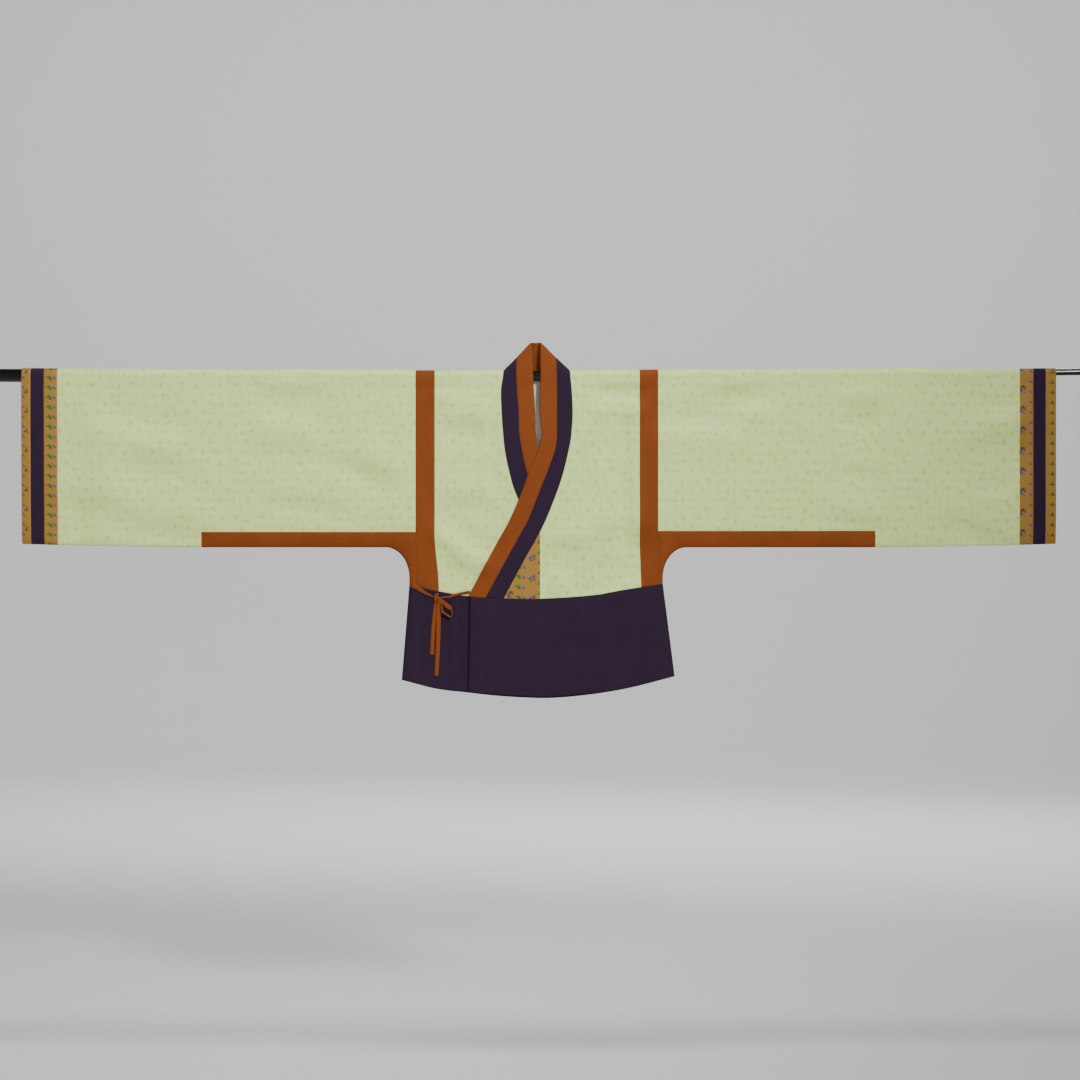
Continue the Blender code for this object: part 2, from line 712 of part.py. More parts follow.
def build_strip(name, table):
    """A tie that lies on the inner lap, from the cloth's own points, moved out."""
    long = sum(math.hypot(b.x - a.x, b.drop - a.drop) for a, b in zip(table, table[1:]))
    keyed = [(k / (len(table) - 1), *row) for k, row in enumerate(table)]
    count = max(4, round(long / TIE_STEP))
    path = [[smooth(keyed, k / count, column) for column in (1, 2, 3, 4)] for k in range(count + 1)]
    rows = []
    for k, (x, drop, width, lift) in enumerate(path):
        before, after = path[max(k - 1, 0)], path[min(k + 1, count)]
        run = Vector((after[0] - before[0], after[1] - before[1])).normalized()
        row = []
        for half in (-width / 2, 0, width / 2):
            point_x, point_drop = x - run.y * half, drop + run.x * half
            point, normal = hang(point_x, point_drop, -1, dip(RIGHT, point_x, point_drop))
            row.append((point + normal * (TIE_REST + lift), normal))
        rows.append(row)
    wall(name, RUST, TIE_WALL, rows)


def build_loop():
    """The half bow's loop, a strip that turns edge-on round the bend and comes back to the knot."""
    keyed = [(k / (len(LOOP) - 1), *row) for k, row in enumerate(LOOP)]
    centres, turns = [], []
    for k in range(LOOP_POINTS + 1):
        x, drop, off, turn = (smooth(keyed, k / LOOP_POINTS, column) for column in (1, 2, 3, 4))
        point, normal = hang(x, drop, -1, dip(RIGHT, x, drop))
        centres.append(point + normal * (WAIST_WALL + off))
        turns.append(math.radians(turn))
    rows = []
    halves = (-LOOP_WIDTH / 2, 0, LOOP_WIDTH / 2)
    for k, centre in enumerate(centres):
        run = (centres[min(k + 1, LOOP_POINTS)] - centres[max(k - 1, 0)]).normalized()
        flat = Vector((0, -1, 0)).cross(run).normalized()
        across = flat * math.cos(turns[k]) + run.cross(flat) * math.sin(turns[k])
        out = across.cross(run).normalized()
        rows.append([(centre + across * half - out * TIE_WALL / 2, out) for half in halves])
    wall("tie_loop", RUST, TIE_WALL, rows)


def build_knot():
    """The knot: a small pillow of wrapped strip with shallow slanting ridges."""
    mesh = bmesh.new()
    bmesh.ops.create_uvsphere(mesh, u_segments=16, v_segments=9, radius=0.5)
    x, drop = KNOT_CENTRE
    on, _ = hang(x, drop, -1, dip(RIGHT, x, drop))
    centre = on + Vector((0, -(WAIST_WALL + GAP + KNOT_SIZE[1] / 2), 0))
    for vert in mesh.verts:
        ridge = 1 + KNOT_RIDGE * math.sin(4 * math.atan2(vert.co.z, vert.co.x) + 6 * vert.co.y)
        vert.co = centre + Vector((
            vert.co.x * ridge * KNOT_SIZE[0],
            vert.co.y * KNOT_SIZE[1],
            vert.co.z * ridge * KNOT_SIZE[2],
        ))
    place("tie_knot", mesh, RUST)


def main():
    for old in list(bpy.data.objects):
        bpy.data.objects.remove(old)
    for k, length in enumerate(ROD):
        build_rod(length, starts_at_step=k > 0)
    for side in SIDES:
        build_body(side)
        build_gusset(side)
        build_armhole_band(side)
        build_underarm_strip(side)
        build_sleeve(side)
        build_tube("sleeve_end_" + side.word, CREAM, CREAM_WALL, side, side.sleeve_seam, side.cuffs[0])
        cuff_cloths = (("cuff_inner_", BROCADE), ("cuff_middle_", PURPLE), ("cuff_outer_", BROCADE))
        for (name, cloth), start, end in zip(cuff_cloths, side.cuffs, side.cuffs[1:]):
            build_tube(name + side.word, cloth, TRIM_WALL, side, start, end)
    build_collar()
    build_waist_panel()
    for name, table in TIES.items():
        build_strip(name, table)
    build_knot()
    build_loop()


main()
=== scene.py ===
"""The looks of a hanfu jacket that hangs flat on a rod: fine cloth shells stand for the plain solids.

The values and curves that place each piece are those of the part's own source, in the same frame: metres,
the origin on the rod's axis, +X the wearer's left, -Y the front and +Z up. The shells add soft folds, seams
and rounded edges, and node materials weave their cloths, with motifs charted one by one.
"""
import math
from collections import namedtuple

import bmesh
import bpy
import numpy as np
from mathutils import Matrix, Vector, noise


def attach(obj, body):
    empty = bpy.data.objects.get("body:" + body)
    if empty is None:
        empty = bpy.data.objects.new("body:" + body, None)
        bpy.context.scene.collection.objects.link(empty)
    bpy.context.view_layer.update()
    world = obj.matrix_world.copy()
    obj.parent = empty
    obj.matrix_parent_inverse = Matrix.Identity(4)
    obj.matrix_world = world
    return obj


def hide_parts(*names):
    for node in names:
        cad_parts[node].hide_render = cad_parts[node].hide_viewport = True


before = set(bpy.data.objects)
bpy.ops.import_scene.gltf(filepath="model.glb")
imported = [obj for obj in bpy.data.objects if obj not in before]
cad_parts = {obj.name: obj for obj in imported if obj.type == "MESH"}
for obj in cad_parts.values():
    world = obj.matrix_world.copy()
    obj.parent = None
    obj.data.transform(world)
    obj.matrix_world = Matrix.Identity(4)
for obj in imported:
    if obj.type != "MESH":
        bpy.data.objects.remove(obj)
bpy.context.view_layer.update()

GAP = 0.0003
HALF_GAP = GAP / 2

# Rod: three telescoping lengths, tilted a little and bowed
RodLength = namedtuple("RodLength", "name start end radius")
ROD = (
    RodLength("rod_wide", -1.150, -0.310, 0.0140),
    RodLength("rod_middle", -0.310, 0.800, 0.0112),
    RodLength("rod_narrow", 0.800, 1.163, 0.0070),
)
ROD_RISE = 0.0032
ROD_BOW = 0.0040
ROD_STEP_EASE = 0.060

# Walls of cloth
CREAM_WALL = 0.0014
TRIM_WALL = 0.0016
WAIST_WALL = 0.0018
COLLAR_WALL = 0.0024
TIE_WALL = 0.0015

# Catenary of the hanging cloth: its tightness, and the height over which it opens to the rod's depth
CATENARY = 0.0030
FOLD_REACH = 0.350
ON_FOLD = 0.00001

# Body and sleeves, one row a side, as distances out and drops
Side = namedtuple(
    "Side", "word sign cuffs sleeve_seam strip_top band_out band_in band_drift waist hem hem_drop"
)
RIGHT = Side("right", -1, (1.0082, 1.0361, 1.0639, 1.0830), 0.7060, 0.3282, 0.2552, 0.2152, -0.0086,
             0.2672, 0.2830, 0.6385)
LEFT = Side("left", 1, (1.0156, 1.0439, 1.0697, 1.0912), 0.7119, 0.3261, 0.2545, 0.2159, 0.0031,
            0.2633, 0.2881, 0.6310)
SIDES = (RIGHT, LEFT)
SLEEVE_DROP = 0.3590
SLEEVE_RISE_FROM = 0.80
SLEEVE_RISE_TO = 1.083
SLEEVE_RISE = 0.0073
SLEEVE_RISE_POWER = 1.2
TOP_STEPS = 24
UNDERARM_WIDE = 0.0515
UNDERARM_TALL = 0.0660
UNDERARM_BEND = 40
DRIFT_FROM = 0.330
DRIFT_OVER = 0.120
CENTRE_FRONT = 0.0063
GUSSET_TIP = 0.0018

# Waist seam and front hem from the wearer's right to left
Level = namedtuple("Level", "x drop")
WAIST = (
    Level(-0.270, 0.4400), Level(-0.207, 0.4530), Level(-0.141, 0.4638), Level(-0.067, 0.4680),
    Level(0.006, 0.4687), Level(0.120, 0.4610), Level(0.180, 0.4505), Level(0.270, 0.4365),
)
HEM = (
    Level(-0.2850, 0.6388), Level(-0.2150, 0.6558), Level(-0.1436, 0.6634), Level(-0.0777, 0.6695),
    Level(0.0000, 0.6733), Level(0.0441, 0.6726), Level(0.1323, 0.6642), Level(0.2120, 0.6504),
    Level(0.2900, 0.6310),
)
BACK_HEM_LOWER = 0.0044
BELOW_HEM = 0.70
PANEL_EDGE = 0.030
PANEL_EDGE_STEPS = 9
STRIP_STEPS = 9

# Collar: how far out its seam, the join of its two bands and its free edge lie at each drop
Strap = namedtuple("Strap", "drop seam join free")
SEAM, JOIN, FREE = 1, 2, 3
COLLAR = {
    RIGHT: (
        Strap(0.000, 0.0708, 0.0438, 0.0089), Strap(0.030, 0.0752, 0.0420, 0.0071),
        Strap(0.078, 0.0739, 0.0382, 0.0044), Strap(0.114, 0.0714, 0.0378, 0.0032),
        Strap(0.156, 0.0672, 0.0315, -0.0036), Strap(0.198, 0.0588, 0.0220, -0.0147),
        Strap(0.240, 0.0470, 0.0070, -0.0298), Strap(0.303, 0.0190, -0.0189, -0.0567),
        Strap(0.345, -0.0032, -0.0420, -0.0798), Strap(0.387, -0.0273, -0.0651, -0.1029),
        Strap(0.470, -0.0715, -0.1100, -0.1470),
    ),
    LEFT: (
        Strap(0.000, 0.0695, 0.0420, 0.0082), Strap(0.030, 0.0725, 0.0420, 0.0076),
        Strap(0.080, 0.0746, 0.0420, 0.0067), Strap(0.114, 0.0725, 0.0420, 0.0095),
        Strap(0.135, 0.0704, 0.0415, 0.0088), Strap(0.156, 0.0662, 0.0378, 0.0036),
        Strap(0.198, 0.0563, 0.0231, -0.0147), Strap(0.240, 0.0430, 0.0063, -0.0298),
        Strap(0.303, 0.0179, -0.0189, -0.0567), Strap(0.345, -0.0032, -0.0420, -0.0798),
        Strap(0.387, -0.0273, -0.0651, -0.1029), Strap(0.470, -0.0715, -0.1100, -0.1470),
    ),
}
COLLAR_WIDTH = 0.062
BODY_LEVELS = 66

# Back neck: the seam circles the rod to this angle, and the collar stands up behind it
NECK_STATIONS = 40
NECK_BACK_ANGLE = math.radians(150)
CREST_OUT = {RIGHT: 0.0120, LEFT: 0.0070}
CREST_HEIGHT = 0.0692
NECK_BACK_HEIGHT = 0.0702
NECK_BACK_DEPTH = 0.0075
CREST_CLIMB = 1.5
CREST_ROUND = 3

# Lap: the wearer's right front and its collar dip behind the left ones
DIP = 0.0035
DIP_RAMP = 0.030
DIP_STARTS = 0.060
DIP_FULL = 0.150
OUTER_EDGE = Level(-0.1394, 0.4647)
OUTER_EDGE_HEM = Level(-0.1436, 0.6634)
INNER_EDGE_OUT = -0.1400

# Recess: the inner waist panel sinks deeper beside the outer one's free edge, less wide at the hem
RECESS = 0.0115
RECESS_RAMP = 0.030
RECESS_RAMP_HEM = 0.014
RECESS_BACK = 0.080
RECESS_FROM = 0.4650
RECESS_OVER = 0.026

# Ties: path points as x, drop, width and how far the strip lies off the inner lap's cloth
Strip = namedtuple("Strip", "x drop width lift")
TIE_REST = 0.0024
TIES = {
    "tie_side": (
        Strip(-0.2622, 0.4400, 0.0096, 0.0004), Strip(-0.2500, 0.4463, 0.0092, 0.0004),
        Strip(-0.2380, 0.4543, 0.0068, 0.0010), Strip(-0.2260, 0.4606, 0.0042, 0.0018),
        Strip(-0.2185, 0.4640, 0.0036, 0.0024),
    ),
    "tie_collar": (
        Strip(-0.2020, 0.4664, 0.0034, 0.0022), Strip(-0.1862, 0.4652, 0.0042, 0.0012),
        Strip(-0.1725, 0.4604, 0.0052, 0.0006), Strip(-0.1560, 0.4570, 0.0060, 0.0010),
        Strip(-0.1408, 0.4548, 0.0070, 0.0016),
    ),
    "tie_tail_short": (
        Strip(-0.2120, 0.4700, 0.0070, 0.0002), Strip(-0.2130, 0.4860, 0.0084, 0.0002),
        Strip(-0.2160, 0.5110, 0.0086, 0.0002), Strip(-0.2190, 0.5512, 0.0084, 0.0004),
        Strip(-0.2203, 0.5859, 0.0088, 0.0008),
    ),
    "tie_tail_long": (
        Strip(-0.2062, 0.4700, 0.0070, 0.0024), Strip(-0.2062, 0.4878, 0.0092, 0.0024),
        Strip(-0.2069, 0.5200, 0.0098, 0.0024), Strip(-0.2076, 0.5512, 0.0097, 0.0022),
        Strip(-0.2090, 0.5880, 0.0092, 0.0014), Strip(-0.2113, 0.6302, 0.0088, 0.0014),
    ),
}
TIE_STEP = 0.004
KNOT_CENTRE = (-0.2101, 0.4660)
KnotTurn = namedtuple("KnotTurn", "x z lean wide deep tall")
KNOT_TURNS = (
    KnotTurn(-0.0030, -0.0004, 6, 0.0034, 0.0031, 0.0084),
    KnotTurn(0.0032, -0.0018, -38, 0.0032, 0.0036, 0.0080),
    KnotTurn(0.0002, 0.0068, 82, 0.0020, 0.0034, 0.0042),
)
KNOT_SQUARE = 0.85
BULGE_SIDES = 40
BULGE_RINGS = 24

# Half bow: its loop as x, drop, distance off the cloth, and how far the strip is turned edge-on
LoopPoint = namedtuple("LoopPoint", "x drop off turn")
LOOP = (
    LoopPoint(-0.2068, 0.4700, 0.0066, 8), LoopPoint(-0.1955, 0.4776, 0.0064, 10),
    LoopPoint(-0.1870, 0.4846, 0.0064, 12), LoopPoint(-0.1818, 0.4888, 0.0066, 18),
    LoopPoint(-0.1796, 0.4922, 0.0070, 66), LoopPoint(-0.1783, 0.4975, 0.0072, 80),
    LoopPoint(-0.1790, 0.5032, 0.0072, 80), LoopPoint(-0.1818, 0.5058, 0.0072, 78),
    LoopPoint(-0.1905, 0.5014, 0.0070, 76), LoopPoint(-0.1975, 0.4965, 0.0068, 76),
    LoopPoint(-0.1996, 0.4900, 0.0066, 76), LoopPoint(-0.1996, 0.4830, 0.0064, 78),
)
LOOP_WIDTH = 0.0100
LOOP_POINTS = 64

# Soft folds in millimetres: x and drop of both ends, width, height and lean to one side
FRONT_CREASES = (
    (-951, 131, -951, 299, 63, 0, -9.3), (-993, 261, -909, 265, 42, 0, -6.9),
    (-829, 173, -762, 181, 38, 0, -6.2), (-859, 295, -720, 320, 40, 0, -7.2),
    (-556, 26, -472, 28, 25, 0, -5.8), (-588, 146, -498, 150, 29, 0, -3.9),
    (-367, 190, -321, 206, 38, 0, -8.7), (-535, 257, -426, 269, 29, 0, -5.8),
    (-905, 97, -783, 118, 38, 0, 6.8), (-556, 85, -489, 93, 34, 0, 7.7),
    (-451, 198, -397, 209, 27, 0, 5.4), (376, 26, 435, 26, 25, 0, -6.2),
    (661, 59, 699, 59, 27, 0, -9.4), (664, 89, 699, 85, 21, 0, -6.2), (672, 196, 706, 198, 19, 0, -4.7),
    (636, 293, 712, 305, 29, 0, -7.2), (918, 148, 989, 135, 46, 0, -9.1),
    (892, 307, 943, 328, 34, 0, -7.7), (422, 68, 462, 64, 29, 0, 8.7), (279, 108, 414, 112, 36, 0, 8.6),
    (947, 76, 989, 74, 25, 0, 6.6), (937, 244, 979, 244, 25, 0, 6.2), (-170, 97, -124, 101, 34, 0, -8),
    (-168, 257, -122, 261, 32, 0, -7.5), (-204, 353, -185, 356, 15, 0, -3.5),
    (-174, 389, -126, 408, 29, 0, -6.6), (-208, 32, -185, 32, 19, 0, 5.5),
    (-199, 316, -115, 379, 27, 0.5, 7.3), (-105, 55, -105, 219, 15, 0, 4.8),
    (160, 17, 210, 17, 19, 0, -6.4), (195, 80, 195, 320, 21, 0, -8.8), (48, 360, 90, 364, 29, 0, -11.2),
    (52, 393, 86, 398, 21, 0, -8), (34, 416, 34, 450, 19, 0, -6), (99, 437, 134, 442, 19, 0, -6.4),
    (103, 345, 212, 332, 46, 0, -11.5), (103, 400, 158, 395, 29, 0, -8.8),
    (136, 55, 206, 57, 25, 0, 9.1), (136, 450, 166, 452, 19, 0, 7.6), (168, 427, 204, 429, 19, 0, 7.6),
    (80, 496, 115, 542, 21, 1.5, 0), (40, 580, 216, 555, 29, -1.7, 0),
    (-120, 496, -78, 647, 17, 0.9, 0), (216, 496, 241, 631, 17, 0.9, 0),
    (-244, 450, -246, 626, 8, -2.3, 0), (-191, 463, -193, 622, 8, -1.5, 0),
    (-174, 471, -174, 643, 7, 1.5, 0), (-153, 463, -151, 668, 10, -4.2, 0),
)
BACK_CREASES = (
    (210, 290, 120, 395, 14, 4.3, 6), (150, 60, 160, 330, 20, -3.7, -6), (90, 120, 70, 300, 18, 2.5, 6),
    (-80, 100, -95, 330, 19, 2.9, 6), (-180, 50, -165, 310, 18, -3.7, -6),
    (-205, 400, -110, 360, 13, 3.7, 6), (20, 330, -30, 430, 22, -3.4, -6),
    (470, 180, 320, 110, 28, 3.7, 6), (560, 280, 440, 210, 22, -3.4, -6),
    (370, 260, 300, 190, 18, 2.5, 6), (690, 120, 640, 220, 20, -3.2, -6),
    (960, 190, 760, 90, 22, 3.2, 6), (930, 300, 800, 250, 20, -2.9, -6),
    (-350, 80, -470, 50, 20, -3.4, -6), (-400, 200, -560, 130, 26, 3.2, 6),
    (-620, 260, -500, 290, 20, -2.9, -6), (-740, 90, -690, 200, 22, 2.9, 6),
    (-960, 120, -930, 270, 24, -4.5, -6), (-850, 290, -780, 230, 20, 2.9, 6),
    (-120, 520, -140, 660, 18, 2.3, 6), (60, 500, 80, 670, 22, -2.5, -6),
    (200, 490, 230, 640, 18, 2.5, 6),
)
CREASES = np.array(FRONT_CREASES + BACK_CREASES) / 1000
CREASE_FACES = np.array([-1] * len(FRONT_CREASES) + [1] * len(BACK_CREASES))
CREASE_STARTS = CREASES[:, 0:2]
CREASE_RUNS = CREASES[:, 2:4] - CREASE_STARTS
CREASE_LENGTHS = (CREASE_RUNS**2).sum(1)
CREASE_WIDTHS, CREASE_HEIGHTS = CREASES[:, 4], CREASES[:, 5]
CREASE_LEANS = CREASES[:, 6] / CREASE_WIDTHS

# Waves all over the cloth, puckers under the rod, and how the folds fade in below it
WAVES = 5
WAVE_HEIGHT = 0.0022
WAVE_LAYER = 5
PUCKERS = 60
PUCKER_HEIGHT = 0.0010
PUCKER_LAYER = 9
PUCKER_DROP = 0.050
TUCK = 0.0009
RELIEF_FROM = 0.006
RELIEF_OVER = 0.020
RELIEF_LIMIT = 0.5

# Shells: the spacing of their points, the seam's dip and how far in from an edge it starts
STEP = 0.007
SEAM_IN = 0.0016
SEAM_DIP = 0.00035
RIM_OUT = 0.35

# Counts of rounds and points, and flat sizes of the cut pieces as width and length
SETTLE = 6
HALVINGS = 20
FOLD_SPACING = 0.20
BODY_COLUMNS = 30
BAND_COLUMNS = 6
GUSSET_COLUMNS = 8
WAIST_LEVELS = 30
OUTER_COLUMNS = 54
BACK_COLUMNS = 38
NECK_LONG = 0.12
WAIST_DEEP = 0.205
TIE_FLAT_WIDTH = 0.0102
TIE_CROWN = 0.0001
HEM_FROM = 0.91
HEM_FLARE = 0.0008

# Motifs as ovals, in millimetres: place, turn in degrees, half length and half width
JACQUARD = {
    "petal": (
        ((9.6, 2.6), 20, (5, 3.4)), ((-7.4, 7.2), -40, (4.8, 3)),
    ),
    "blossom": (
        ((1.8, 2), 35, (5.8, 4)), ((-2.4, -0.8), -50, (5.4, 3.6)),
        ((1.6, -3.4), 10, (4.2, 3)),
    ),
    "heart": (((0.4, 0.2), 0, (1.7, 1.5)),),
    "leaf": (((1, 2), 30, (5.2, 2)), ((-1.6, -1.8), -40, (4, 1.8))),
    "glint": (((5.2, -5), 20, (1.4, 1)),),
}
JACQUARD_COLOURS = {
    "petal": (0.30, (232, 236, 214)), "blossom": (0.70, (194, 214, 100)), "leaf": (0.45, (192, 213, 104)),
    "heart": (0.45, (152, 170, 76)), "glint": (0.70, (250, 250, 240)),
}
Oval = namedtuple("Oval", "x y turn long wide colour")
MOTIFS = {
    "leaf": (
        Oval(0.4, -0.4, -52, 5.8, 2.8, "green"), Oval(-2.4, 2, 12, 3, 1.5, "green"),
        Oval(0.4, -0.4, -52, 4.6, 0.3, "dark"), Oval(-7, 1.2, 10, 2, 0.6, "dark"),
    ),
    "petal": (
        Oval(2, -1.8, -46, 4.6, 2.1, "grey"), Oval(-2.6, 2.6, -44, 3.8, 1.7, "lilac"),
        Oval(3.4, -0.8, -48, 3.4, 0.8, "lilac"),
    ),
    "stroke": (
        Oval(-0.2, 0.2, -52, 5.6, 1.7, "lilac"), Oval(1.4, -2, -58, 3.2, 1.3, "grey"),
    ),
    "sprig": (
        Oval(0.6, 2.6, -66, 3.6, 1.4, "grey"), Oval(3.4, -1.2, -60, 3.6, 1.1, "lilac"),
        Oval(-2.4, -1.2, 40, 3, 1.4, "dark"), Oval(0.4, -3.2, -10, 2.6, 1.2, "green"),
    ),
    "flower": (
        Oval(0.6, 4.6, 80, 3.6, 2.4, "dark"), Oval(4, 1.4, 10, 3.6, 2.8, "grey"),
        Oval(2, -3.4, -60, 3.6, 2.6, "lilac"), Oval(-2.6, -3.4, 55, 3.8, 2.6, "blue"),
        Oval(-3.6, 1.6, -20, 3.4, 2.6, "grey"), Oval(0.6, 0, 0, 1.3, 1.1, "gold"),
        Oval(5.2, 6.4, 50, 1.6, 0.6, "dark"), Oval(3.6, -8, -40, 1.8, 0.6, "dark"),
    ),
    "rose": (
        Oval(-2.8, 2.8, -40, 4, 3, "lilac"), Oval(3.4, 2, 30, 4.2, 2.8, "grey"),
        Oval(4, -3.4, -70, 4, 2.6, "grey"), Oval(-3.4, -2.6, 20, 3.8, 2.6, "blue"),
        Oval(1.6, -1.8, 0, 1.5, 1.3, "gold"), Oval(-2, -7.8, -20, 3, 0.8, "dark"),
    ),
    "shoot": (
        Oval(0, 1.6, 90, 3, 1.4, "bright"), Oval(-1.6, -1.2, 34, 3, 1.5, "bright"),
        Oval(1.6, -1.2, -34, 3, 1.5, "bright"), Oval(0, -2.4, 0, 4, 1, "green"),
        Oval(-9.2, -1, 70, 1.2, 0.6, "dark"),
    ),
    "sliver": (Oval(0, 0, -70, 4, 1.2, "lilac"), Oval(-1.2, 1.6, 60, 1.6, 1, "blue")),
}
THREADS = {
    "green": (52, 100, 2), "bright": (34, 84, 2), "dark": (54, 40, 12), "lilac": (132, 92, 98),
    "grey": (84, 70, 54), "blue": (66, 66, 82), "gold": (150, 108, 24),
}

# Colours, out of 255
CREAM_GROUND = ((209, 232, 146), (206, 229, 140))
LINING_COLOURS = ((240, 244, 225), (246, 248, 232))
RUST_COLOURS = ((119, 57, 14), (128, 63, 17))
PURPLE_COLOURS = ((36, 23, 45), (43, 24, 46))
GOLD = ((143, 111, 23), (155, 103, 29))
BLACK = ((8, 8, 9), (13, 13, 14))

# Weaves: patches of uneven colour a metre, pitch and share of the threads, and height of the relief
CREAM_PATCHES = 26.0
CREAM_PITCH = 0.0007
CREAM_THREADS = 0.35
CREAM_BUMP = 0.00010
BLOSSOM_PATCHES = 55.0
BLOSSOM_LEAST = 0.20
GOLD_PATCHES = 70.0
GOLD_PITCH = 0.0006
GOLD_THREADS = 0.3
GOLD_BUMP = 0.00012
SLUBS = 60.0
SLUB_STRETCH = (1.0, 6.0)
SLUB_HEIGHT = 1.5
SHADES = 7.0
SHADE_STRETCH = (2.2, 0.8)
PLAIN_BUMP = 0.00008
PAINT_PATCHES = 40.0
PAINT_BUMP = 0.00002
BLOSSOM_PERIOD = (0.0270, 0.0400)
BLOSSOM_STRAY = 0.0100
JACQUARD_SOFT = 0.6
SHEEN_ROUGH = 0.4
REPEAT_WIDE = 0.084
OVAL_SCALE = (1.10, 1.30)

# Stage, lights and the photo's camera
FLOOR = -1.45
STAGE_FLAT = 8.0
STAGE_CURVE = 3.0
STAGE_WALL = 6.0
STAGE_SIDES = 96
STAGE_COLOUR = (0.80, 0.80, 0.79, 1)
STAGE_ROUGH = 0.9
Lamp = namedtuple("Lamp", "name place aim size energy colour")
WHITE = (1.0, 1.0, 1.0)
LIGHTS = (
    Lamp("key", (2.2, -5.4, 2.3), (-0.6, 0.0, -0.2), (1.0, 1.0), 1450, (1.0, 1.0, 0.93)),
    Lamp("fill", (-3.2, -4.6, 0.2), (-0.5, 0.0, -0.3), (1.0, 1.0), 32, (0.80, 0.82, 1.0)),
    Lamp("front", (0.3, -6.4, -0.2), (0.0, 0.0, -0.3), (1.0, 1.0), 36, WHITE),
    Lamp("top", (-0.1, -0.9, 2.7), (-0.1, 0.0, 0.0), (1.6, 0.6), 56, WHITE),
    Lamp("back", (1.5, 5.0, 2.2), (0.0, 0.0, -0.3), (3.0, 2.4), 160, WHITE),
    Lamp("wall", (0.0, 4.5, 3.4), (0.0, 10.5, 0.5), (4.0, 1.5), 300, WHITE),
)
KEY_CONE = math.radians(37)
WORLD_LIGHT = 0.15
WORLD_COLOUR = (0.95, 0.97, 1.0, 1)
LENS = 95.24
SENSOR = 36.0
CAMERA_AWAY = 6.016
VIEW_X = 0.0063
VIEW_Z = -0.3450


def ease(share):
    """A smooth step from 0 to 1."""
    share = min(max(share, 0.0), 1.0)
    return share * share * (3 - 2 * share)


def mix(a, b, share):
    return a + (b - a) * share


def smooth(table, at, column):
    """A smooth curve through a table's rows: one column's value where the first column is at."""
    last = len(table) - 1
    i = next((k for k in range(1, last) if at < table[k][0]), last) - 1

    def slope(k):
        low, high = table[max(k - 1, 0)], table[min(k + 1, last)]
        return (high[column] - low[column]) / (high[0] - low[0])

    here, after = table[i], table[i + 1]
    span = after[0] - here[0]
    t = (at - here[0]) / span
    return (
        (2 * t**3 - 3 * t**2 + 1) * here[column]
        + (t**3 - 2 * t**2 + t) * span * slope(i)
        + (3 * t**2 - 2 * t**3) * after[column]
        + (t**3 - t**2) * span * slope(i + 1)
    )


# The rod and the hang of the cloth


def waist_seam(x):
    """The drop of the waist seam."""
    return smooth(WAIST, x, 1)


def strap_edge(side, column, drop):
    """How far out one of the collar strap's three edges lies."""
    return smooth(COLLAR[side], max(drop, 0.0), column)


def axis(x):
    """The height of the rod's axis."""
    return ROD_RISE * x + ROD_BOW * x * x


def cloth_radius(x):
    """The inner half depth of the cloth at the rod, eased past each step down of the rod."""
    radius = ROD[0].radius
    for wide, narrow in zip(ROD, ROD[1:]):
        radius -= (wide.radius - narrow.radius) * ease((x - narrow.start) / ROD_STEP_EASE)
    return radius + GAP


def sleeve_bottom(out):
    """The drop of the sleeve's lower fold, which rises a little towards the cuff."""
    share = max(0.0, out - SLEEVE_RISE_FROM) / (SLEEVE_RISE_TO - SLEEVE_RISE_FROM)
    return SLEEVE_DROP - SLEEVE_RISE * share**SLEEVE_RISE_POWER


def underarm(side, degrees):
    """A point on the rounded underarm, from the sleeve at 0 degrees to the body's side at 90."""
    turn = math.radians(degrees)
    return (
        side.waist + UNDERARM_WIDE * (1 - math.sin(turn)),
        SLEEVE_DROP + UNDERARM_TALL * (1 - math.cos(turn)),
    )


def side_out(side, drop):
    """How far out the body's side fold lies, straight below the underarm and flared below the waist."""
    top = waist_seam(side.sign * side.waist)
    return mix(side.waist, side.hem, max(0.0, drop - top) / (side.hem_drop - top))


def fold_line(side):
    """The fold along the sleeve, round the underarm and down the side, as (x, z) points."""
    line = [(out, sleeve_bottom(out)) for out in np.linspace(side.cuffs[-1], SLEEVE_RISE_FROM, 7)]
    line += [underarm(side, degrees) for degrees in range(0, 91, 5)]
    line += [(side_out(side, drop), drop) for drop in (waist_seam(side.sign * side.waist), BELOW_HEM)]
    return [(side.sign * out, -drop) for out, drop in line]


def fold_segments():
    """Both fold lines as arrays: segment starts, segment runs, and the direction into the cloth."""
    starts, runs, inward = [], [], []
    for side in SIDES:
        line = np.array(fold_line(side))
        run = np.diff(line, axis=0)
        starts.append(line[:-1])
        runs.append(run)
        turned = side.sign * np.column_stack((run[:, 1], -run[:, 0]))
        inward.append(turned / np.linalg.norm(turned, axis=1)[:, None])
    return np.vstack(starts), np.vstack(runs), np.vstack(inward)


FOLD_STARTS, FOLD_RUNS, FOLD_INWARD = fold_segments()
CATENARY_TOP = math.acosh(1 + FOLD_REACH / CATENARY)


def fold_distance(x, z):
    """How far a point lies from the nearest fold, and the direction away from that fold."""
    from_start = np.array((x, z)) - FOLD_STARTS
    share = np.clip((from_start * FOLD_RUNS).sum(1) / (FOLD_RUNS**2).sum(1), 0, 1)
    off = from_start - share[:, None] * FOLD_RUNS
    far = np.hypot(off[:, 0], off[:, 1])
    nearest = far.argmin()
    if far[nearest] < ON_FOLD:
        return 0.0, FOLD_INWARD[nearest]
    return float(far[nearest]), off[nearest] / far[nearest]


Spot = namedtuple("Spot", "point normal uv")


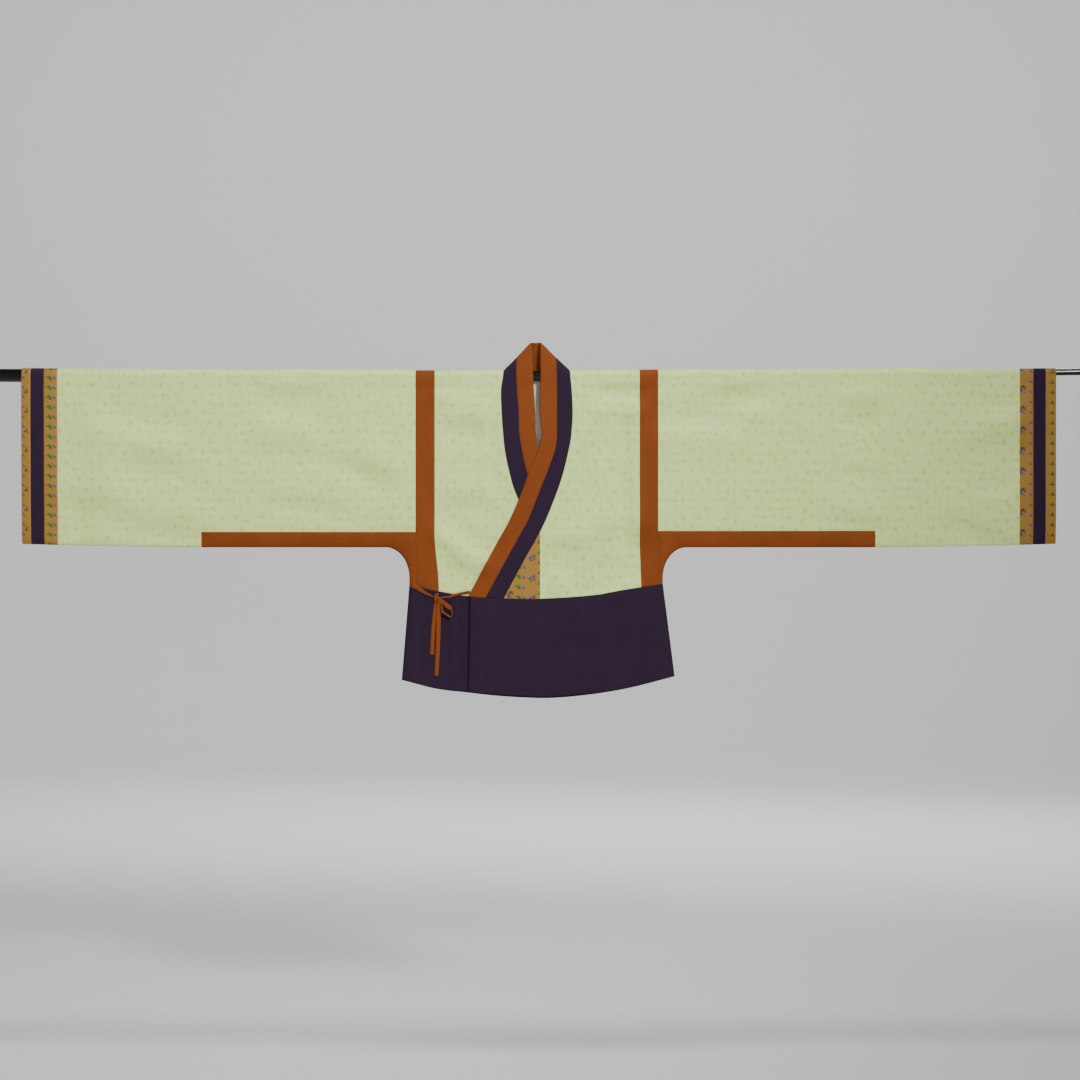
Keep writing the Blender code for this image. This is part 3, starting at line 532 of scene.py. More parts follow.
def relief(x, drop, face):
    """How far the soft folds push the cloth out from its plain hang."""
    off = np.array((x, drop)) - CREASE_STARTS
    share = np.clip((off * CREASE_RUNS).sum(1) / CREASE_LENGTHS, 0, 1)
    off -= share[:, None] * CREASE_RUNS
    near = np.exp(-(off**2).sum(1) / CREASE_WIDTHS**2) * (CREASE_FACES == face)
    aside = (CREASE_RUNS[:, 0] * off[:, 1] - CREASE_RUNS[:, 1] * off[:, 0]) / np.sqrt(CREASE_LENGTHS)
    folds = float((near * (CREASE_HEIGHTS + CREASE_LEANS * aside)).sum())
    waves = noise.noise(Vector((x * WAVES, drop * WAVES, WAVE_LAYER * face))) * WAVE_HEIGHT
    pucker = noise.noise(Vector((x * PUCKERS, drop * WAVES, PUCKER_LAYER * face))) * PUCKER_HEIGHT - TUCK
    return folds + waves + pucker * math.exp(-((drop / PUCKER_DROP) ** 2))


def hang(x, drop, face, behind=0.0):
    """A spot on the cloth's inner face, at the front (face -1) or back (1), with its soft folds."""
    away, inward = fold_distance(x, -drop)
    radius = cloth_radius(x)
    depth, normal = radius, Vector((0, face, 0))
    if away < FOLD_REACH:
        depth *= math.acosh(1 + away / CATENARY) / CATENARY_TOP
        openness = math.sqrt((1 + away / CATENARY) ** 2 - 1) * CATENARY * CATENARY_TOP / radius
        normal = Vector((-inward[0], face * openness, -inward[1])).normalized()
    depth = max(depth - behind, HALF_GAP)
    below_rod = ease((drop + axis(x) - RELIEF_FROM) / RELIEF_OVER)
    lift = relief(x, drop, face) * ease(away / RELIEF_OVER) * below_rod
    point = Vector((x, face * depth, -drop)) + normal * max(lift, -RELIEF_LIMIT * depth)
    v = -drop if face < 0 else drop + 2 * axis(x) + math.pi * radius
    return Spot(point, normal, (x, v))


def over_rod(x, angle):
    """A spot where the cloth lies over the rod: 0 is the front and 180 degrees the back."""
    radius = cloth_radius(x)
    normal = Vector((0, -math.cos(angle), math.sin(angle)))
    return Spot(Vector((x, 0, axis(x))) + radius * normal, normal, (x, axis(x) + radius * angle))


def catenary_steps(low, high, count):
    """Heights above the fold from low to high, closer together near the fold where the cloth bends."""
    first, last = (math.acosh(1 + h / CATENARY) for h in (low, high))
    return [CATENARY * (math.cosh(mix(first, last, k / count)) - 1) for k in range(count + 1)]


def outer_edge(drop):
    """Where the outer lap's free edge lies below the waist seam."""
    share = (drop - OUTER_EDGE.drop) / (OUTER_EDGE_HEM.drop - OUTER_EDGE.drop)
    return mix(OUTER_EDGE.x, OUTER_EDGE_HEM.x, share)


def dip(side, x, drop):
    """How far the inner lap lies behind the outer one, easing in before the outer lap's free edge."""
    if side is LEFT:
        return 0.0
    edge = strap_edge(LEFT, FREE, drop) if drop < OUTER_EDGE.drop else outer_edge(drop)
    lapped = DIP * ease((x - edge) / DIP_RAMP + 1) * ease((drop - DIP_STARTS) / (DIP_FULL - DIP_STARTS))
    down = (drop - RECESS_FROM) / (OUTER_EDGE_HEM.drop - RECESS_FROM)
    ramp = mix(RECESS_RAMP, RECESS_RAMP_HEM, down)
    sunk = RECESS * ease((x - edge) / ramp + 1) * (1 - ease((x - edge) / RECESS_BACK))
    return lapped + sunk * ease((drop - RECESS_FROM) / RECESS_OVER)


def laid(side, x, drop, face=-1):
    """A spot on one side's cloth, where the inner lap's front dips behind the outer one."""
    return hang(x, drop, face, dip(side, x, drop) if face < 0 else 0.0)


# Shells


def steps(start, end, spacing=STEP):
    """Even places from start to end."""
    count = max(2, math.ceil(abs(end - start) / spacing))
    return [mix(start, end, k / count) for k in range(count + 1)]


def heights(low, high):
    """Heights above a fold, close together where the cloth bends and STEP apart higher up."""
    found = [low]
    while found[-1] < high:
        found.append(found[-1] + min(STEP, FOLD_SPACING * (found[-1] + CATENARY)))
    return [low + (h - low) * (high - low) / (found[-1] - low) for h in found]


def halfway(a, b, share):
    """The spot at a share of the way from one to the other."""
    uv = tuple(mix(p, q, share) for p, q in zip(a.uv, b.uv))
    return Spot(a.point.lerp(b.point, share), a.normal.lerp(b.normal, share).normalized(), uv)


def with_seams(line):
    """A line of spots with one more just inside each end, where the seam's dip begins."""
    def inside(a, b):
        return halfway(a, b, min(0.4, SEAM_IN / max((b.point - a.point).length, 1e-6)))

    return [line[0], inside(line[0], line[1]), *line[1:-1], inside(line[-1], line[-2]), line[-1]]


def wall_points(mesh, rows, thickness, ring):
    """The wall's inner, outer and rim points by row and place, and where each lies on the cloth."""
    last, end = len(rows) - 1, len(rows[0]) - 1
    inner, outer, rim, uvs = {}, {}, {}, []

    def vertex(point, uv):
        uvs.append(uv)
        return mesh.verts.new(point)

    for i, row in enumerate(rows):
        for j, (point, normal, uv) in enumerate(row):
            side_i = 0 if ring else (i == last) - (i == 0)
            side_j = (j == end) - (j == 0)
            sunk = SEAM_DIP if side_i or side_j else 0.0
            inner[i, j] = vertex(point + normal * sunk / 2, uv)
            outer[i, j] = vertex(point + normal * (thickness - sunk), uv)
            if side_i or side_j:
                out = Vector()
                if side_i:
                    out += (point - rows[i - side_i][j].point).normalized()
                if side_j:
                    out += (point - row[j - side_j].point).normalized()
                rim[i, j] = vertex(point + normal * thickness / 2 + out * thickness * RIM_OUT, uv)
    return inner, outer, rim, uvs


def wall_faces(mesh, size, inner, outer, rim, ring, lined):
    """The faces of the wall's two sides and of its rim, where a ring closes on itself."""
    count, across = size

    def close(a, b):
        mesh.faces.new((inner[a], inner[b], rim[b], rim[a]))
        mesh.faces.new((rim[a], rim[b], outer[b], outer[a]))

    for i in range(count - 1 + ring):
        k = (i + 1) % count
        for j in range(across - 1):
            mesh.faces.new((outer[i, j], outer[k, j], outer[k, j + 1], outer[i, j + 1]))
            inside = mesh.faces.new((inner[i, j], inner[i, j + 1], inner[k, j + 1], inner[k, j]))
            inside.material_index = 1 if lined else 0
        for j in (0, across - 1):
            close((i, j), (k, j))
    for i in () if ring else (0, count - 1):
        for j in range(across - 1):
            close((i, j), (i, j + 1))


def shell(node, cloth, thickness, rows, ring=False, lining=None):
    """A thin closed piece of cloth from rows of spots on its inner face."""
    rows = [with_seams(row) for row in rows]
    if not ring:
        rows = [list(row) for row in zip(*(with_seams(list(column)) for column in zip(*rows)))]
    mesh = bmesh.new()
    inner, outer, rim, uvs = wall_points(mesh, rows, thickness, ring)
    wall_faces(mesh, (len(rows), len(rows[0])), inner, outer, rim, ring, bool(lining))
    piece = finish_mesh("cloth_" + node, mesh, uvs, cloth, lining)
    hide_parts(node)


def join_rings(mesh, tip, rings):
    """Faces from a tip to a ring of points, and on from each ring to the next."""
    sides = len(rings[0])
    for k in range(sides):
        m = (k + 1) % sides
        mesh.faces.new((tip, rings[0][k], rings[0][m]))
        for here, after in zip(rings, rings[1:]):
            mesh.faces.new((here[k], after[k], after[m], here[m]))


def linked(name, data):
    """A new object in the scene."""
    made = bpy.data.objects.new(name, data)
    bpy.context.collection.objects.link(made)
    return made


def smooth_object(name, mesh, material):
    """A mesh as an object with smooth faces in one material."""
    for face in mesh.faces:
        face.smooth = True
    data = bpy.data.meshes.new(name)
    mesh.to_mesh(data)
    mesh.free()
    data.materials.append(material)
    return linked(name, data)


def finish_mesh(name, mesh, uvs, cloth, lining=None):
    """A mesh as a smooth object in its cloth, riding on the one body."""
    bmesh.ops.recalc_face_normals(mesh, faces=mesh.faces)
    layer = mesh.loops.layers.uv.new("cloth")
    mesh.verts.index_update()
    for face in mesh.faces:
        for loop in face.loops:
            loop[layer].uv = uvs[loop.vert.index]
    piece = smooth_object(name, mesh, cloth.material)
    if lining:
        piece.data.materials.append(lining.material)
    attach(piece, "root")
    return piece


# Sleeves and cuffs


def over_the_top(xs, low):
    """Rows of a piece that hangs over the rod, each from low above the fold at the front to the back."""
    rows = []
    reference = heights(low(xs[0]), SLEEVE_DROP)
    for x in xs:
        bottom = sleeve_bottom(abs(x))
        start, top = low(x), bottom + axis(x)
        climb = [mix(start, top, (h - reference[0]) / (reference[-1] - reference[0])) for h in reference]
        column = [hang(x, bottom - h, -1) for h in climb[:-1]]
        column += [over_rod(x, math.pi * k / TOP_STEPS) for k in range(TOP_STEPS + 1)]
        column += [hang(x, bottom - h, 1) for h in reversed(climb[:-1])]
        rows.append(column)
    return [list(row) for row in zip(*rows)]


def build_tube(node, cloth, thickness, side, start, end):
    """A closed stretch of the sleeve between two distances out: a sleeve end or a cuff band."""
    xs = steps(side.sign * (start + HALF_GAP), side.sign * (end - HALF_GAP))
    rows = over_the_top(xs, lambda x: 0.0)
    lining = LINING if cloth is CREAM else None
    shell(node, cloth, thickness, rows[:-1], ring=True, lining=lining)


def build_sleeve(side):
    """The sleeve from the armhole band to the sleeve seam, open below along the underarm strip."""
    xs = steps(side.sign * (side.band_out + HALF_GAP), side.sign * (side.sleeve_seam - HALF_GAP))
    seam = side.strip_top - HALF_GAP
    rows = over_the_top(xs, lambda x: sleeve_bottom(abs(x)) - seam)
    node = "sleeve_" + side.word
    shell(node, CREAM, CREAM_WALL, rows, lining=LINING)


def build_underarm_strip(side):
    """The strip folded under the sleeve, which turns down round the underarm to the waist."""
    top, edge = side.strip_top + HALF_GAP, side.band_out + HALF_GAP
    arm_start = underarm(side, 0)[0]
    outs = steps(side.sleeve_seam - HALF_GAP, arm_start)[:-1]
    pairs = [((out, top), (out, sleeve_bottom(out))) for out in outs]
    for degrees in range(0, 91, 4):
        if degrees <= UNDERARM_BEND:
            inner = (mix(arm_start, edge, degrees / UNDERARM_BEND), top)
        else:
            share = (degrees - UNDERARM_BEND) / (90 - UNDERARM_BEND)
            inner = (edge, mix(top, underarm(side, 90)[1], share))
        pairs.append((inner, underarm(side, degrees)))
    turned = pairs[-1]
    waist_in, waist_out = (waist_seam(side.sign * out) - HALF_GAP for out in (edge, side.waist))
    for share in (0.5, 1.0):
        inner = (edge, mix(turned[0][1], waist_in, share))
        pairs.append((inner, (side.waist, mix(turned[1][1], waist_out, share))))
    rows = []
    for inner, outer in pairs:
        long = math.hypot(inner[0] - outer[0], inner[1] - outer[1])
        shares = [h / long for h in catenary_steps(0, long, STRIP_STEPS)]
        path = [(side.sign * mix(outer[0], inner[0], s), mix(outer[1], inner[1], s)) for s in shares]
        front = [hang(x, drop, -1) for x, drop in reversed(path)]
        back = [hang(x, drop, 1) for x, drop in path[1:]]
        rows.append(front + back)
    node = "underarm_strip_" + side.word
    shell(node, RUST, TRIM_WALL, rows)


# Body and armhole bands


def level(x, share):
    """The drop at a share of the way from the rod's axis down to the waist seam."""
    return mix(-axis(x), waist_seam(x) - HALF_GAP, share)


def band_inner(side, drop):
    """How far out the armhole band's inner seam lies, which drifts near the waist."""
    return side.band_in + side.band_drift * ease((drop - DRIFT_FROM) / DRIFT_OVER)


def at_level(side, share, edge):
    """Where an edge, given as a function of the drop, crosses a level: (out, drop)."""
    drop = share * SLEEVE_DROP
    for _ in range(SETTLE):
        out = edge(drop)
        drop = level(side.sign * out, share)
    return out, drop


def front_edge(side, drop):
    """The body's front edge: the collar's seam, and below their crossing the centre-front seam."""
    return max(strap_edge(side, SEAM, drop), CENTRE_FRONT)


def neck_seam(side, t):
    """The collar's seam over the rod, as (out, angle): t is 0 at the front and 1 at the back's middle."""
    turn = math.pi / 2 * t * t
    return strap_edge(side, SEAM, 0.0) * math.cos(turn), NECK_BACK_ANGLE * math.sqrt(math.sin(turn))


def between(side, share, inner_edge, outer_edge, columns, face):
    """A row of spots at a level, from an inner to an outer edge."""
    near, far = (at_level(side, share, edge)[0] for edge in (inner_edge, outer_edge))
    row = []
    for k in range(columns + 1):
        x = side.sign * mix(near, far, k / columns)
        row.append(laid(side, x, level(x, share), face))
    return row


def shares_down(count):
    return [k / count for k in range(count + 1)]


def panel_rows(side, inner_edge, outer_edge, columns, face):
    """Rows between two edges from the rod's level down to the waist seam."""
    shares = shares_down(BODY_LEVELS)
    return [between(side, share, inner_edge, outer_edge, columns, face) for share in shares]


def build_body(side):
    """Half the body in one piece over the shoulder, from the front waist to the back waist."""
    def outer(drop):
        return band_inner(side, drop) - HALF_GAP

    rows = panel_rows(side, lambda drop: front_edge(side, drop), outer, BODY_COLUMNS, -1)[::-1]
    seams = [neck_seam(side, k / NECK_STATIONS) for k in range(1, NECK_STATIONS)]
    seams += [(HALF_GAP, mix(NECK_BACK_ANGLE, math.pi, share)) for share in shares_down(4)]
    for out, angle in seams:
        line = [side.sign * mix(out, outer(0), k / BODY_COLUMNS) for k in range(BODY_COLUMNS + 1)]
        rows.append([over_rod(x, angle) for x in line])
    rows += panel_rows(side, lambda drop: HALF_GAP, lambda drop: outer(0), BODY_COLUMNS, 1)[1:]
    node = "body_" + side.word
    shell(node, CREAM, CREAM_WALL, rows, lining=LINING)


def build_armhole_band(side):
    """The band over the shoulder from the front waist to the back waist."""
    def inner(drop):
        return band_inner(side, drop) + HALF_GAP

    def outer(drop):
        return side.band_out - HALF_GAP

    rows = panel_rows(side, inner, outer, BAND_COLUMNS, -1)[::-1]
    across = [side.sign * mix(inner(0), outer(0), k / BAND_COLUMNS) for k in range(BAND_COLUMNS + 1)]
    for turn in range(1, TOP_STEPS + 1):
        rows.append([over_rod(x, math.pi * turn / TOP_STEPS) for x in across])
    rows += panel_rows(side, lambda drop: inner(0), outer, BAND_COLUMNS, 1)[1:]
    node = "armhole_band_" + side.word
    shell(node, RUST, TRIM_WALL, rows)


def gusset_apex(side, seam):
    """The level where the collar's seam has left the centre front by the gusset's tip."""
    low, high = 0.0, 1.0
    for _ in range(HALVINGS):
        middle = (low + high) / 2
        if at_level(side, middle, seam)[0] > CENTRE_FRONT - GUSSET_TIP:
            low = middle
        else:
            high = middle
    return middle


def build_gusset(side):
    """The piece that carries the lap across, between the centre-front seam and the collar."""
    def seam(drop):
        return strap_edge(side, SEAM, drop)

    def centre(drop):
        return CENTRE_FRONT - GAP

    shares = steps(gusset_apex(side, seam), 1.0, 1 / BODY_LEVELS)
    rows = [between(side, share, seam, centre, GUSSET_COLUMNS, -1) for share in shares]
    node = "gusset_" + side.word
    shell(node, GUSSET_CLOTH, TRIM_WALL, rows)


# Collar


def strap_row(side, share, fractions):
    """A line across a strap of the collar at a level, from its seam to its free edge."""
    row = []
    for fraction in fractions:
        def place_across(drop, fraction=fraction):
            seam, join, free = (strap_edge(side, column, drop) for column in (SEAM, JOIN, FREE))
            if fraction <= 0.5:
                return mix(seam - GAP, join, fraction * 2)
            return mix(join, free, fraction * 2 - 1)

        out, drop = at_level(side, share, place_across)
        spot = laid(side, side.sign * out, drop)
        row.append(spot._replace(uv=(fraction * COLLAR_WIDTH, spot.uv[1])))
    return row


def neck_free_edge(side, t):
    """The collar's free edge over the neck: up the front, over the crest and along the back."""
    free = strap_edge(side, FREE, 0.0)
    crest = math.sqrt(math.asin((math.pi / 2 / NECK_BACK_ANGLE) ** 2) / (math.pi / 2))
    out = CREST_OUT[side]
    if t <= crest:
        share = t / crest
        height = CREST_HEIGHT * (1 - (1 - share) ** CREST_CLIMB)
        depth = -cloth_radius(0) * math.sqrt(max(0.0, 1 - (height / CREST_HEIGHT) ** CREST_ROUND))
        return Vector((side.sign * mix(free, out, share), depth, height))
    share = (t - crest) / (1 - crest)
    depth = NECK_BACK_DEPTH * math.sqrt(1 - (1 - share) ** 2)
    return Vector((side.sign * out * (1 - share), depth, mix(CREST_HEIGHT, NECK_BACK_HEIGHT, share)))


def neck_row(side, t, fractions):
    """A line across the collar where it turns over the shoulder and stands behind the neck."""
    out, angle = neck_seam(side, t)
    seam, radial, _ = over_rod(side.sign * out, angle)
    free = neck_free_edge(side, t)
    seam = seam + (free - seam).normalized() * GAP
    seam_out, join_out, free_out = (strap_edge(side, column, 0.0) for column in (SEAM, JOIN, FREE))
    join = mix((seam_out - join_out) / (seam_out - free_out), 0.5, t)
    row = []
    for fraction in fractions:
        share = fraction * 2 * join if fraction <= 0.5 else mix(join, 1, fraction * 2 - 1)
        row.append(Spot(seam.lerp(free, share), radial, (fraction * COLLAR_WIDTH, NECK_LONG * t)))
    return row


def surface_normals(rows):
    """Normals of a grid of points, by its neighbours, on the left of the rows' run seen from outside."""
    last, end = len(rows) - 1, len(rows[0]) - 1
    normals = []
    for i, row in enumerate(rows):
        line = []
        for j in range(len(row)):
            run = rows[min(i + 1, last)][j] - rows[max(i - 1, 0)][j]
            across = row[min(j + 1, end)] - row[max(j - 1, 0)]
            line.append(across.cross(run).normalized())
        normals.append(line)
    return normals


def build_collar_band(node, cloth, fractions):
    """One of the collar's two bands, in one length from waist to waist round the neck."""
    rows = [strap_row(RIGHT, share, fractions) for share in reversed(shares_down(BODY_LEVELS))]
    first = len(rows)
    up, down = range(1, NECK_STATIONS + 1), reversed(range(1, NECK_STATIONS))
    for side, stations in ((RIGHT, up), (LEFT, down)):
        rows += [neck_row(side, k / NECK_STATIONS, fractions) for k in stations]
    last = len(rows)
    rows += [strap_row(LEFT, share, fractions) for share in shares_down(BODY_LEVELS)]
    bent = surface_normals([[spot.point for spot in row] for row in rows])
    keep = 1 if fractions[0] == 0 else 0
    for i in range(first, last):
        for j in range(keep, len(fractions)):
            rows[i][j] = rows[i][j]._replace(normal=bent[i][j])
    shell(node, cloth, COLLAR_WALL, rows, lining=RUST)


def build_collar():
    half = HALF_GAP / COLLAR_WIDTH
    build_collar_band("collar_seam_band", PURPLE, steps(0, 0.5 - half, 0.1))
    build_collar_band("collar_edge_band", RUST, steps(0.5 + half, 1, 0.1))


# Waist panel


def waist_rows(side, free_edge, face, hem_lower, columns):
    """Rows down the waist panel, from the side fold towards the middle."""
    near_fold = catenary_steps(0, PANEL_EDGE, PANEL_EDGE_STEPS)
    rows = []
    for share in shares_down(WAIST_LEVELS):
        row = []
        for k in range(columns + PANEL_EDGE_STEPS + 1):
            def place_across(drop, k=k):
                fold = side_out(side, drop)
                if k <= PANEL_EDGE_STEPS:
                    return fold - near_fold[k]
                return mix(fold - PANEL_EDGE, free_edge(drop), (k - PANEL_EDGE_STEPS) / columns)

            drop = mix(OUTER_EDGE.drop, OUTER_EDGE_HEM.drop, share)
            for _ in range(SETTLE):
                x = side.sign * place_across(drop)
                lower = hem_lower * (1 - (x / side.hem) ** 2)
                drop = mix(waist_seam(x) + HALF_GAP, smooth(HEM, x, 1) + lower, share)
            spot = laid(side, x, drop, face)
            flare = HEM_FLARE * ease((share - HEM_FROM) / (1 - HEM_FROM)) * ease(k / PANEL_EDGE_STEPS)
            row.append(spot._replace(point=spot.point + spot.normal * flare, uv=(x, share * WAIST_DEEP)))
        rows.append(row)
    return rows


def build_waist_panel():
    outer = waist_rows(LEFT, outer_edge, -1, 0.0, OUTER_COLUMNS)
    shell("waist_front_outer", PURPLE, WAIST_WALL, outer)
    inner = waist_rows(RIGHT, lambda drop: INNER_EDGE_OUT, -1, 0.0, OUTER_COLUMNS)
    shell("waist_front_inner", PURPLE, WAIST_WALL, inner)
    right, left = (waist_rows(side, lambda drop: 0.0, 1, BACK_HEM_LOWER, BACK_COLUMNS) for side in SIDES)
    rows = [a + list(reversed(b))[1:] for a, b in zip(right, left)]
    shell("waist_back", PURPLE, WAIST_WALL, rows)


# Ties


def along(table, count):
    """A table's four columns at even steps along a smooth curve through its rows."""
    keyed = [(k / (len(table) - 1), *row) for k, row in enumerate(table)]
    return [[smooth(keyed, share, column) for column in (1, 2, 3, 4)] for share in shares_down(count)]


def halves(width):
    """Five places across a strip, with room for its rim."""
    return [(width / 2 - RIM_OUT * TIE_WALL) / 2 * part for part in range(-2, 3)]


def build_strip(node, table):
    """A tie that lies on the inner lap, from the cloth's own points, moved out."""
    long = sum(math.hypot(b.x - a.x, b.drop - a.drop) for a, b in zip(table, table[1:]))
    count = max(4, round(long / TIE_STEP))
    path = along(table, count)
    rows = []
    for k, (x, drop, width, lift) in enumerate(path):
        before, after = path[max(k - 1, 0)], path[min(k + 1, count)]
        run = Vector((after[0] - before[0], after[1] - before[1])).normalized()
        row = []
        for part, half in enumerate(halves(width), -2):
            point, normal, _ = laid(RIGHT, x - run.y * half, drop + run.x * half)
            off = TIE_REST + lift + TIE_CROWN * (1 - (part / 2) ** 2)
            row.append(Spot(point + normal * off, normal, (half, long * k / count)))
        rows.append(row)
    area = long * sum(row.width for row in table) / len(table)
    shell(node, RUST, TIE_WALL, rows)


def build_loop():
    """The half bow's loop, a strip that turns edge-on round the bend and comes back to the knot."""
    centres, turns = [], []
    for x, drop, off, turn in along(LOOP, LOOP_POINTS):
        point, normal, _ = laid(RIGHT, x, drop)
        centres.append(point + normal * (WAIST_WALL + off))
        turns.append(math.radians(turn))
    long = sum((b - a).length for a, b in zip(centres, centres[1:]))
    rows = []
    for k, centre in enumerate(centres):
        run = (centres[min(k + 1, LOOP_POINTS)] - centres[max(k - 1, 0)]).normalized()
        flat = Vector((0, -1, 0)).cross(run).normalized()
        across = flat * math.cos(turns[k]) + run.cross(flat) * math.sin(turns[k])
        out = across.cross(run).normalized()
        start, v = centre - out * TIE_WALL / 2, long * k / LOOP_POINTS
        rows.append([Spot(start + across * half, out, (half, v)) for half in halves(LOOP_WIDTH)])
    flat = (TIE_FLAT_WIDTH, long)
    shell("tie_loop", RUST, TIE_WALL, rows)


def add_bulge(mesh, uvs, centre, turn):
    """One turn of the knot: a leaning bulge, rounded but a little square."""
    lean = math.radians(turn.lean)

    def vertex(down, around):
        ball = (math.sin(down) * math.cos(around), math.sin(down) * math.sin(around), math.cos(down))
        u, depth, v = (math.copysign(abs(c) ** KNOT_SQUARE, c) for c in ball)
        u, depth, v = u * turn.wide, depth * turn.deep, v * turn.tall
        across, up = u * math.cos(lean) + v * math.sin(lean), v * math.cos(lean) - u * math.sin(lean)
        uvs.append((u, v))
        return mesh.verts.new(centre + Vector((turn.x + across, depth - turn.deep, turn.z + up)))

    top, bottom = vertex(0, 0), vertex(math.pi, 0)
    turns = [2 * math.pi * k / BULGE_SIDES for k in range(BULGE_SIDES)]
    rings = [[vertex(math.pi * share, turn) for turn in turns] for share in shares_down(BULGE_RINGS)[1:-1]]
    join_rings(mesh, top, rings)
    join_rings(mesh, bottom, rings[-1:])


def build_knot():
    """The knot: turns of the strip pulled tight, as soft bulges that lean over each other."""
    mesh = bmesh.new()
    centre = laid(RIGHT, *KNOT_CENTRE).point - Vector((0, WAIST_WALL + GAP, 0))
    uvs = []
    for turn in KNOT_TURNS:
        add_bulge(mesh, uvs, centre, turn)
    knot = finish_mesh("cloth_tie_knot", mesh, uvs, RUST)
    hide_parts("tie_knot")
    return knot


# Node materials


class Weave:
    """A cloth's node tree: each call adds one node and gives its first output."""

    def __init__(self, name):
        self.material = bpy.data.materials.new(name)
        self.material.use_nodes = True
        self.tree = self.material.node_tree
        self.shader = self.tree.nodes["Principled BSDF"]
        self.uv = self.node("UVMap", uv_map="cloth")

    def node(self, kind, *values, output=0, named=None, **settings):
        made = self.tree.nodes.new("ShaderNode" + kind)
        for key, value in settings.items():
            setattr(made, key, value)
        self.plug(zip(made.inputs, values))
        self.plug((made.inputs[key], value) for key, value in (named or {}).items())
        return made.outputs[output]

    def plug(self, pairs):
        """Links each socket to its value's node, or sets a plain value on the socket."""
        for socket, value in pairs:
            if isinstance(value, bpy.types.NodeSocket):
                self.tree.links.new(value, socket)
            elif value is not None:
                socket.default_value = value

    def math(self, operation, *values):
        return self.node("Math", *values, operation=operation)

    def vector(self, operation, *values, output=0):
        return self.node("VectorMath", *values, operation=operation, output=output)

    def times(self, a, b):
        return self.math("MULTIPLY", a, b)

    def mix(self, share, a, b):
        return self.node("MixRGB", share, a, b)

    def shades(self, share, pair):
        """A colour between a pair of shades."""
        return self.mix(share, srgb(*pair[0]), srgb(*pair[1]))

    def fade(self, value, low, high):
        """0 where the value is low and 1 where it is high, with a smooth step between."""
        return self.node("MapRange", value, low, high, 0.0, 1.0, interpolation_type="SMOOTHSTEP")

    def most(self, masks):
        """The highest of the masks at each place."""
        total = masks[0]
        for mask in masks[1:]:
            total = self.math("MAXIMUM", total, mask)
        return total

    def oval(self, where, at, turn, size, soft=0.35):
        """A soft oval at a place, turned by degrees, of a half length and half width in millimetres."""
        at, size = (tuple(value / 1000 for value in pair) for pair in (at, size))
        placement = ((*at, 0.0), (0.0, 0.0, math.radians(turn)), (*size, 1.0))
        placed = self.node("Mapping", where, *placement, vector_type="TEXTURE")
        return self.fade(self.vector("LENGTH", placed, output=1), 1 + soft, 1 - soft)

    def cells(self, period, offset, stray=0.0):
        """The place in a lattice's cell, off its middle by up to half of stray, and a random number."""
        shifted = self.vector("SUBTRACT", self.uv, (*offset, 0.0))
        half = (period[0] / 2, period[1] / 2, 1.0)
        where = self.vector("WRAP", shifted, half, (-half[0], -half[1], -1.0))
        corner = self.vector("DIVIDE", self.vector("SUBTRACT", shifted, where), (*period, 1.0))
        whole = self.vector("FLOOR", self.vector("ADD", corner, (0.5, 0.5, 0.5)))
        chance = self.node("TexWhiteNoise", whole, noise_dimensions="2D")
        if stray:
            moved = self.vector("SUBTRACT", chance.node.outputs["Color"], (0.5, 0.5, 0.5))
            where = self.vector("MULTIPLY_ADD", moved, (stray, stray, 0.0), where)
        return where, chance

    def turned(self, where, chance):
        """A place turned about its cell's middle by a random angle."""
        named = {"Vector": where, "Angle": self.times(chance, 2 * math.pi)}
        return self.node("VectorRotate", named=named, rotation_type="Z_AXIS")

    def patches(self, scale, detail=2.0, stretch=(1.0, 1.0), soft=0.15):
        """Uneven patches from 0 to 1, so many a metre, that fade into each other."""
        placed = self.node("Mapping", self.uv, None, None, (*stretch, 1.0))
        named = {"Vector": placed, "Scale": scale, "Detail": detail}
        patchy = self.node("TexNoise", named=named, noise_dimensions="2D")
        return self.fade(patchy, 0.5 - soft, 0.5 + soft)

    def threads(self, pitch):
        """The height of a plain weave: threads over and under each other."""
        places = self.node("SeparateXYZ", self.uv).node.outputs
        return self.times(*(self.math("SINE", self.times(places[k], 2 * math.pi / pitch)) for k in range(2)))

    def finish(self, colour, rough, height, bump, sheen=0.0, spec=0.3):
        settings = {
            "Base Color": colour, "Roughness": rough, "Sheen Weight": sheen, "Sheen Roughness": SHEEN_ROUGH,
            "Specular IOR Level": spec,
            "Normal": self.node("Bump", named={"Strength": 1.0, "Distance": bump, "Height": height}),
        }
        self.plug((self.shader.inputs[key], value) for key, value in settings.items())
        return self.material


def srgb(*shades):
    """A linear colour from red, green and blue out of 255."""
    linear = [((c / 255 + 0.055) / 1.055) ** 2.4 if c > 10 else c / 255 / 12.92 for c in shades]
    return (*linear, 1.0)


Cloth = namedtuple("Cloth", "material slot")


